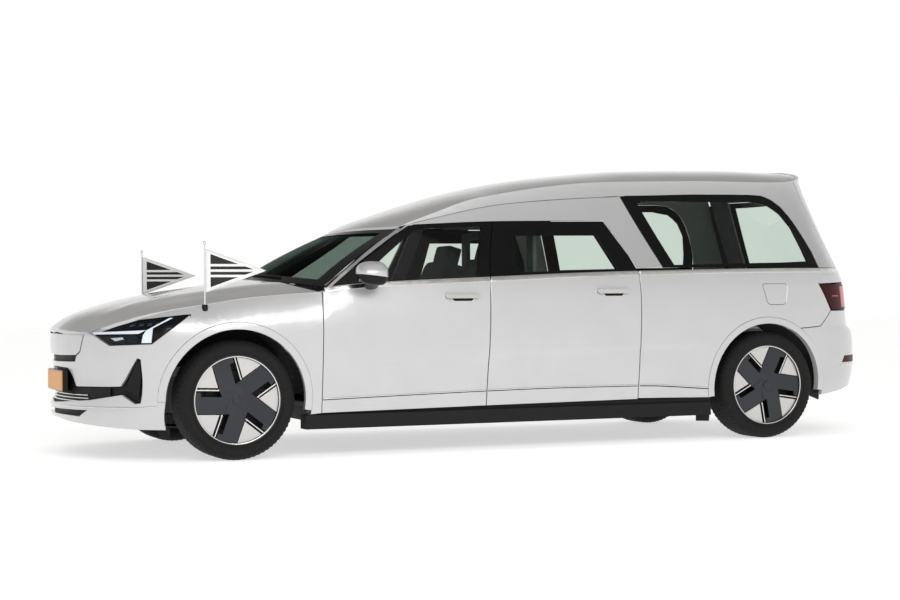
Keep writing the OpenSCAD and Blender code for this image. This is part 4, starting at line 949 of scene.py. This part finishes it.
def wheel(place, hub, side, phase, body):
    R = RIM_R - 8

    def cut(outline, turn, front, thick, edge=1.6):
        """A flat piece of the wheel's face: its outline turned about the hub, front that deep in the tyre."""
        bm = flat_solid(outline, thick, edge=edge, segments=2)
        c, s = cos(radians(turn)), sin(radians(turn))
        for v in bm.verts:
            a, b, w = v.co
            v.co = (a * c - b * s, side * (TYRE_W / 2 - front + w), a * s + b * c)
        bmesh.ops.recalc_face_normals(bm, faces=bm.faces[:])
        return bm

    def joined(parts):
        total = parts[0]
        for part in parts[1:]:
            mesh = bpy.data.meshes.new("part")
            part.to_mesh(mesh)
            part.free()
            total.from_mesh(mesh)
            bpy.data.meshes.remove(mesh)
        return total

    def turned(name, profile, steps, look, slot="rim", replaces=()):
        make(f"{place}_{name}", seat_on_hub(ring_spin(profile, steps, side), hub), body, [look], slot, replaces)

    # Tyre: rounded shoulders, four grooves round the tread and sipes across its shoulders
    tread = [(TYRE_R - 1.5, 34), (TYRE_R, 46), (TYRE_R, 64), (TYRE_R - 7, 66), (TYRE_R - 7, 72), (TYRE_R, 74),
             (TYRE_R, 100), (TYRE_R - 7, 102), (TYRE_R - 7, 109), (TYRE_R, 111)]
    half = [(RIM_R - 12, 16), (RIM_R - 2, 7), (RIM_R + 6, 3.5), (RIM_R + 9, 4.5), (RIM_R + 12, 1.6),
            (RIM_R + 24, -1.4),
            (RIM_R + 38, -1.9), (RIM_R + 50, 0), (RIM_R + 53, 1.8), (RIM_R + 56, 0.8), (RIM_R + 64,
                                                                                        6), (RIM_R + 73, 15),
            (TYRE_R - 6, 24)] + tread
    profile = half + [(r, TYRE_W - depth) for r, depth in half[::-1]] + [(RIM_R - 16, TYRE_W / 2)]
    bm = ring_spin(profile, TREAD_STEPS, side)
    for v in bm.verts:
        r = hypot(v.co.x, v.co.z)
        step = round(atan2(v.co.z, v.co.x) / (2 * pi) * TREAD_STEPS) % 3
        depth = TYRE_W / 2 - abs(v.co.y)
        if step == 0 and r > RIM_R + 62 and 4 < depth < 60:
            v.co.x *= (r - 4) / r
            v.co.z *= (r - 4) / r
    make(f"{place}_tyre_tread", seat_on_hub(bm, hub), body, [rubber], "tyre", [f"{place}_tyre"], weighted=False)
    barrel = [(R - 4, 12), (R + 2, 9), (R + 6, 10), (R + 6, 40), (R - 8, 60), (R - 10, 200), (R + 4, 236),
              (R - 6, 236),
              (R - 18, 200), (R - 16, 60), (R - 12, 34)]
    turned("rim_barrel", barrel, 120, wheel_dark, replaces=[f"{place}_rim"])
    bright = [(R - 7, 12.2), (R - 4.5, 11), (R - 1.5, 11), (R - 1, 14), (R - 7, 14)]
    turned("rim_bright_ring", bright, 120, bright_trim)

    edge_r = R - 9
    c72, s72 = cos(radians(72)), sin(radians(72))

    def reach(b):
        return sqrt(edge_r * edge_r - b * b)

    def nxt(a, b):
        """A point given along the next blade, in this blade's frame."""
        return a * c72 - b * s72, a * s72 + b * c72

    blades, sectors, lines = [], [], []
    hi, lo = 0.31 * RIM_R, -0.165 * RIM_R
    slot_hi = -0.065 * RIM_R
    for k in range(5):
        turn = phase + 72 * k
        blade = ([(0.0, lo), (0.33 * RIM_R, lo), (0.35 * RIM_R, slot_hi), (0.80 * RIM_R, slot_hi),
                  (0.815 * RIM_R, lo)]
                 + [(reach(lo + (hi - lo) * i / 8), lo + (hi - lo) * i / 8) for i in range(9)] + [(0.0, hi)])
        part = cut(blade, turn, 19, 9, 2.2)
        n = (-sin(radians(turn)), cos(radians(turn)))
        for v in part.verts:
            b = v.co.x * n[0] + v.co.z * n[1]
            v.co.y -= side * (b - lo) / (hi - lo) * 5
        blades.append(part)
        inner = hi + 4
        line_b = -0.262 * RIM_R
        arc_end = nxt(reach(line_b), line_b)
        a0 = atan2(arc_end[1], arc_end[0])
        a1 = atan2(inner, reach(inner))
        rim_arc = [(edge_r * cos(a0 + (a1 - a0) * i / 10), edge_r * sin(a0 + (a1 - a0) * i / 10))
                   for i in range(11)]
        start = ((0.262 * RIM_R + 0.309 * inner) / 0.951, inner)
        sectors.append(cut([start] + rim_arc[::-1], turn, 27, 5, 1.2))
        bar = [nxt(0.44 * RIM_R, -0.222 * RIM_R), nxt(reach(-0.222 * RIM_R), -0.222 * RIM_R),
               nxt(reach(-0.196 * RIM_R), -0.196 * RIM_R), nxt(0.40 * RIM_R, -0.196 * RIM_R)]
        foot_bar = [nxt(0.40 * RIM_R, -0.196 * RIM_R), nxt(0.44 * RIM_R, -0.222 * RIM_R),
                    (start[0] - 4, start[1] + 6),
                    (start[0] - 12, start[1] - 2)]
        lines.append(cut(bar, turn, 20, 12, 1.2))
        lines.append(cut(foot_bar, turn, 20, 12, 1.0))
    hub_face = arc(0, 0, 0.24 * RIM_R, 0, 354, 59)
    blades.append(cut(hub_face, 0, 20.5, 40, 3))
    make(f"{place}_wheel_blades", seat_on_hub(joined(blades), hub), body, [wheel_dark], "rim")
    make(f"{place}_wheel_sectors", seat_on_hub(joined(sectors), hub), body, [wheel_silver], "rim")
    make(f"{place}_wheel_bright_lines", seat_on_hub(joined(lines), hub), body, [bright_trim], "rim")
    # Plain centre cap, the brake disc and its bell behind the blades
    cap = [(0.5, 14.6), (24, 14.6), (27, 16), (28, 19), (28, 30), (0.5, 30)]
    turned("wheel_cap", cap, 48, wheel_dark)
    # A dark ring behind the disc: painted shade for the dark inside of the wheel seen through the blades
    shade_ring = [(150, 124), (R - 13, 124), (R - 13, 128), (150, 128)]
    turned("wheel_painted_shade_ring", shade_ring, 48, chassis, "chassis_metal")
    disc = [(0.5, 74), (62, 74), (66, 78), (66, 110), (172, 110), (174, 112), (174, 120), (170, 122), (172, 134),
            (66, 134), (66, 170), (0.5, 170)]
    turned("brake_disc", disc, 72, cast_iron, "chassis_metal")


def wheels():
    for end in ("front", "rear"):
        for hand, side in (("left", -1), ("right", 1)):
            place = f"{end}_{hand}"
            hub = middle(f"{place}_tyre")
            wheel(place, hub, side, 34 if end == "front" else 63.7, f"{place}_wheel")


# ---------------------------------------------------------------- mirrors, handles, flags, sills

def fittings():
    # Door handles over their shallow cups
    for tag, s, z in (("front", 1424, 948), ("rear", 2466, 973)):
        door = f"{tag}_left_door"
        cup = rounded(s - 118, s + 118, z - 31, z + 27, 22)
        fit(f"{tag}_left_handle_cup", cup, paint, "silver_paint", 3, 1.4, (30, 20), 1.6, door)
        # A gloss black patch of painted shade in the cup, under and behind the grip
        shade_patch = rounded(s - 62, s + 74, z - 25, z + 14, 16)
        fit(f"{tag}_left_handle_hollow", shade_patch, gloss_black, "black_plastic", 2, 0.6, (30, 20), 2.4, door)
        grip = rounded(s - 110, s + 110, z - 9, z + 22, 15)
        fit(f"{tag}_left_handle", grip, bright_trim, "silver_paint", 16, 7, (20, 10), 26, door)
    # Mirrors: lacquered cap above a black housing on its foot
    lo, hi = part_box("left_mirror")
    c = Vector((lo.x * 0.5 + hi.x * 0.5, lo.y + 0.092, hi.z - 0.070))

    def squared(t):
        """Moves a round shape's coordinate towards a box's."""
        return (abs(t) ** 0.8) * (1 if t > 0 else -1)

    def shell(low, high, name, material, slot, grow):
        bm = bmesh.new()
        bmesh.ops.create_icosphere(bm, subdivisions=4, radius=1)
        for v in bm.verts:
            x, y, z = v.co
            v.co = Vector((squared(x) * 0.112, squared(y) * 0.092, squared(z) * 0.072)) * grow
            if v.co.x > 0.03:
                v.co.x = 0.03 + (v.co.x - 0.03) * 0.55
            v.co.z += 0.16 * (v.co.y)
        bmesh.ops.bisect_plane(bm, geom=bm.verts[:] + bm.edges[:] + bm.faces[:], plane_co=(0, 0, low),
                               plane_no=(0.12, 0, 1), clear_inner=low > -1, clear_outer=False)
        if high < 1:
            bmesh.ops.bisect_plane(bm, geom=bm.verts[:] + bm.edges[:] + bm.faces[:], plane_co=(0, 0, high),
                                   plane_no=(0.12, 0, 1), clear_outer=True, clear_inner=False)
        bmesh.ops.holes_fill(bm, edges=[e for e in bm.edges if e.is_boundary], sides=0)
        for v in bm.verts:
            v.co += c
        bmesh.ops.recalc_face_normals(bm, faces=bm.faces[:])
        make_pair(name, bm, "front_left_door", [material], slot)

    shell(-0.016, 2, "left_mirror_cap", paint, "silver_paint", 1.0)
    shell(-2, -0.014, "left_mirror_housing", gloss_black, "black_plastic", 0.97)
    bm = bmesh.new()
    bmesh.ops.create_circle(bm, cap_ends=True, segments=24, radius=1)
    ring = bm.verts[:]
    for v in ring:
        v.co = Vector((v.co.x * 0.050, 0, v.co.y * 0.030)) + metres(842, -HALF + 56, 1018)
    top = bmesh.ops.extrude_face_region(bm, geom=bm.faces[:], use_keep_orig=True)
    tops = [g for g in top["geom"] if isinstance(g, bmesh.types.BMVert)]
    for v in tops:
        v.co = (v.co - metres(842, -HALF + 56, 1018)) * 0.8 + c + Vector((0.0, 0.03, -0.05))
    bmesh.ops.recalc_face_normals(bm, faces=bm.faces[:])
    pair = make_pair("left_mirror_foot", bm, "front_left_door", [gloss_black], "black_plastic")
    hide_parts("left_mirror")
    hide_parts("right_mirror")
    glass = rounded(-78, 78, -44, 44, 30)
    bm = flat_solid(glass, 3, edge=1)
    for v in bm.verts:
        v.co = c + Vector((0.0455 - v.co.z / 1000, v.co.x / 1000, 0.012 + v.co.y / 1000 + 0.00016 * v.co.x))
    bmesh.ops.recalc_face_normals(bm, faces=bm.faces[:])
    make_pair("left_mirror_glass", bm, "front_left_door", [chrome], "bright_metal")
    flags()
    # Sill covers, and the guards and skirt round the wheel arches
    sill = along(foot, 432, 3196, 12, -3)
    sill = [(432, 170), (3196, 176)] + sill[::-1]
    fit("left_sill_cover", sill, black_plastic, "black_plastic", 26, 5, (80, 24), -30)
    guard = [(3118, 124), (3214, 120), (3216, 190), (3112, 190)]
    fit("left_rear_air_guard", guard, black_plastic, "black_plastic", 8, 2, (30, 24), -60)
    skirt = seen((4012, 262), (4002, 430), (4110, 430), (4096, 236))
    fit("left_rear_arch_skirt", skirt, black_plastic, "black_plastic", 6, 1, (30, 40), -50)
    guard = seen((-452, 138), (-398, 132), (-394, 196), (-470, 200))
    fit("left_front_air_guard", guard, rubber, "black_plastic", 8, 2, (20, 24), -40)


def rounded(a, b, low, high, r):
    return (arc(b - r, high - r, r, 0, 90, 6) + arc(a + r, high - r, r, 90, 180, 6)
            + arc(a + r, low + r, r, 180, 270, 6)
            + arc(b - r, low + r, r, 270, 360, 6))


def flags():
    lo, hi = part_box("flag_poles")
    x = (lo.x + hi.x) / 2
    cloth_lo, cloth_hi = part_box("pennants")
    for hand, side in (("left", -1), ("right", 1)):
        y = side * (hi.y - 0.017)
        def turned(profile, name, material, slot):
            bm = bmesh.new()
            ring = [bm.verts.new((x + r, y, z)) for r, z in profile]
            edges = [bm.edges.new((ring[i], ring[i + 1])) for i in range(len(ring) - 1)]
            bmesh.ops.spin(bm, geom=ring + edges, cent=(x, y, 0), axis=(0, 0, 1), dvec=(0, 0, 0), angle=2 * pi,
                           steps=32,
                           use_merge=True, use_duplicate=False)
            bmesh.ops.remove_doubles(bm, verts=bm.verts[:], dist=1e-5)
            bmesh.ops.recalc_face_normals(bm, faces=bm.faces[:])
            return make(name, bm, "body", [material], slot)
        top = hi.z
        pole = turned([(0, 0.905), (0.0048, 0.905), (0.0048, top - 0.020), (0.003, top - 0.019),
                       (0.003, top - 0.0175)]
                      + [(0.009 * cos(radians(a)), top - 0.009 + 0.009 * sin(radians(a)))
                         for a in range(-68, 91, 12)][:-1]
                      + [(0, top)], f"{hand}_flag_pole", chrome, "bright_metal")
        if side < 0:
            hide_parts("flag_poles")
        turned([(0, 0.876), (0.0165, 0.876), (0.0172, 0.879), (0.0172, 0.908), (0.0155, 0.913), (0.006, 0.914),
                (0, 0.914)],
               f"{hand}_flag_clamp", black_plastic, "black_plastic")
        # The pennant: a triangle cut along its border and stripes, with a soft wave
        x0, x1 = x + 0.004, cloth_hi.x
        z0, z1 = cloth_lo.z, cloth_hi.z
        zm, height, length = (z0 + z1) / 2, z1 - z0, x1 - x0
        bm = bmesh.new()
        corners = [bm.verts.new(p) for p in ((x0, y, z0), (x1, y, zm), (x0, y, z1))]
        bm.faces.new(corners)
        def cut(point, normal):
            bmesh.ops.bisect_plane(bm, geom=bm.verts[:] + bm.edges[:] + bm.faces[:], plane_co=point,
                                   plane_no=normal)
        sleeve, hem = x0 + 0.030, 0.020
        slope = (height / 2) / length
        for i in range(1, 16):
            cut((x0 + length * i / 16, y, zm), (1, 0, 0))
        cut((sleeve, y, zm), (1, 0, 0))
        stripes = (-0.0385, -0.0245, -0.007, 0.007, 0.0245, 0.0385)
        for dz in stripes:
            cut((x0, y, zm + dz), (0, 0, 1))
        tip = x1 - hem / sin(atan2(height / 2, length))
        for sign in (1, -1):
            cut((tip, y, zm), (-slope, 0, -sign))
        for f in bm.faces:
            m = f.calc_center_median()
            inside = m.x > sleeve and abs(m.z - zm) < (tip - m.x) * slope
            d = abs(m.z - zm)
            white = 0.0245 < d < 0.0385 or d < 0.007
            f.material_index = 1 if inside and not white else 0
        bmesh.ops.triangulate(bm, faces=[f for f in bm.faces if len(f.verts) > 4])
        for v in bm.verts:
            t = (v.co.x - x0) / length
            v.co.y = y + 0.010 * sin(t * 7.5 + side) * t + 0.004 * sin((v.co.z - z0) * 30) * t
        piece = make(f"{hand}_pennant", bm, "body", [flag_white, flag_black], "pennant_cloth", weighted=False)
        thick = piece.modifiers.new("cloth_thickness", "SOLIDIFY")
        thick.thickness = 0.0008
        thick.offset = 0
        if side < 0:
            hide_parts("pennants")


# ---------------------------------------------------------------- inside

def cushion(name, centre, size, lean=0.0, crown=0.018, channels=4):
    """A crowned cushion with sewn channels across it, leaning back by an angle."""
    bm = bmesh.new()
    bmesh.ops.create_cube(bm, size=1)
    bmesh.ops.bevel(bm, geom=bm.edges[:], offset=0.14, offset_type="OFFSET", segments=4, profile=0.5,
                    affect="EDGES",
                    clamp_overlap=True, material=-1)
    bmesh.ops.subdivide_edges(bm, edges=bm.edges[:], cuts=2, use_grid_fill=True)
    for v in bm.verts:
        x, y, z = v.co
        pull = 1 - 0.06 * (1 - (2 * z) ** 2) * 0.5
        p = Vector((x * size[0] * pull, y * size[1] * pull, z * size[2]))
        full = (1 - (2 * x) ** 4) * (1 - (2 * y) ** 4)
        seam = abs(((x + 0.5) * channels) % 1 - 0.5) * 2 if channels else 0
        p.z += (crown * full - 0.007 * max(seam - 0.8, 0) / 0.2 * (1 if abs(y) < 0.36 else 0)) * (1
                                                                                                  if z > 0 else 0.2)
        v.co = p
    bmesh.ops.rotate(bm, verts=bm.verts[:], cent=(0, 0, 0), matrix=Matrix.Rotation(radians(lean), 3, "Y"))
    bmesh.ops.translate(bm, verts=bm.verts[:], vec=centre)
    piece = make(name, bm, "body", [seat_cloth], "upholstery", weighted=False, sharp=60)
    subdivided = piece.modifiers.new("soft", "SUBSURF")
    subdivided.levels = subdivided.render_levels = 1
    return piece


def inside():
    lo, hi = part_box("front_seats")
    for hand, side in (("left", -1), ("right", 1)):
        y = side * 0.37
        base = cushion(f"{hand}_seat_cushion", (lo.x + 0.30, y, lo.z + 0.24), (0.50, 0.50, 0.15), -6)
        cushion(f"{hand}_seat_back", (hi.x - 0.17, y, (lo.z + hi.z) / 2 + 0.10), (0.58, 0.49, 0.13), -70,
                channels=5)
        cushion(f"{hand}_head_rest", (hi.x - 0.06, y, hi.z - 0.085), (0.15, 0.27, 0.095), -74, crown=0.01,
                channels=0)
        if side < 0:
            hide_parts("front_seats")


LOOKS = {
    "floor_pan": soft_trim, "battery_pack": chassis, "front_axle": chassis, "rear_axle": chassis,
    "left_knuckle": cast_iron, "right_knuckle": cast_iron, "front_bay": black_plastic, "cabin_frame": inner_paint,
    "sills": black_plastic, "wheel_liners": black_plastic, "dashboard": soft_trim, "partition": soft_trim,
    "coffin_deck": deck_steel, "headlights": lamp_dark,
}


def cad_finishes():
    """Gives the CAD nodes that stay in view their materials."""
    for name, material in LOOKS.items():
        mesh = frame["nodes"][name].data
        mesh.materials.clear()
        mesh.materials.append(material)


fenders_and_arches()
doors()
upper_side()
quarters()
roof_and_hood()
nose_pieces()
tail_pieces()
screen_pieces()
wheels()
fittings()
inside()
cad_finishes()

# ---------------------------------------------------------------- camera, light and floor

def stage():
    data = bpy.data.cameras.new("camera")
    data.sensor_width = 36
    data.lens = 68.836
    camera = bpy.data.objects.new("camera", data)
    bpy.context.scene.collection.objects.link(camera)
    yaw, pitch, roll = radians(22.133), radians(0.077), radians(-0.458)
    ahead = Vector((sin(yaw) * cos(pitch), cos(yaw) * cos(pitch), sin(pitch)))
    right = Vector((cos(yaw), -sin(yaw), 0))
    above = right.cross(ahead)
    tilted_right = cos(roll) * right + sin(roll) * above
    tilted_up = -sin(roll) * right + cos(roll) * above
    turn = Matrix((tilted_right, tilted_up, -ahead)).transposed().to_4x4()
    camera.matrix_world = Matrix.Translation(metres(-2633, -10687, 915)) @ turn
    bpy.context.scene.camera = camera

    world = bpy.data.worlds.new("studio")
    bpy.context.scene.world = world
    world.use_nodes = True
    tree = world.node_tree
    tree.nodes.clear()
    direction = add(tree, "ShaderNodeTexCoord").outputs["Generated"]
    height = add(tree, "ShaderNodeSeparateXYZ", {"Vector": direction}).outputs["Z"]
    ramp = add(tree, "ShaderNodeValToRGB", {"Fac": height})
    stops = ramp.color_ramp.elements
    stops[0].position, stops[0].color = 0.0, (1, 1, 1, 1)
    stops[1].position, stops[1].color = 1.0, (0.24, 0.235, 0.23, 1)
    middle_stop = stops.new(0.26)
    middle_stop.color = (1, 1, 1, 1)
    middle_stop = stops.new(0.48)
    middle_stop.color = (0.3, 0.29, 0.28, 1)
    back = add(tree, "ShaderNodeBackground", {"Color": ramp.outputs["Color"], "Strength": 1.0})
    add(tree, "ShaderNodeOutputWorld", {"Surface": back.outputs["Background"]})

    def softbox(name, at, aim, size, watts):
        light = bpy.data.lights.new(name, "AREA")
        light.shape = "RECTANGLE"
        light.size, light.size_y = size
        light.energy = watts
        lamp = bpy.data.objects.new(name, light)
        bpy.context.scene.collection.objects.link(lamp)
        turned = (Vector(aim) - Vector(at)).to_track_quat("-Z", "Y")
        lamp.matrix_world = Matrix.Translation(at) @ turned.to_matrix().to_4x4()

    sun = bpy.data.lights.new("overhead_light", "SUN")
    sun.energy = 0.25
    sun.angle = radians(60)
    lamp = bpy.data.objects.new("overhead_light", sun)
    bpy.context.scene.collection.objects.link(lamp)
    softbox("side_softbox", (-2.5, -9, 5.5), (0, 0, 0.8), (9, 3), 370)

    bm = bmesh.new()
    bmesh.ops.create_grid(bm, x_segments=2, y_segments=2, size=60)
    mesh = bpy.data.meshes.new("floor")
    bm.to_mesh(mesh)
    bm.free()
    floor = bpy.data.objects.new("floor", mesh)
    bpy.context.scene.collection.objects.link(floor)
    # Matt white painted studio floor, with a trace of unevenness
    mesh.materials.append(finish("matt_white_floor_paint", "#f6f6f6", 0.9, mottle=("#f3f3f3", 900),
                                 grain=(30, 0.05),
                                 Emission_Color=linear("#ffffff"), Emission_Strength=0.56))
    bpy.context.scene.view_settings.view_transform = "Standard"


stage()
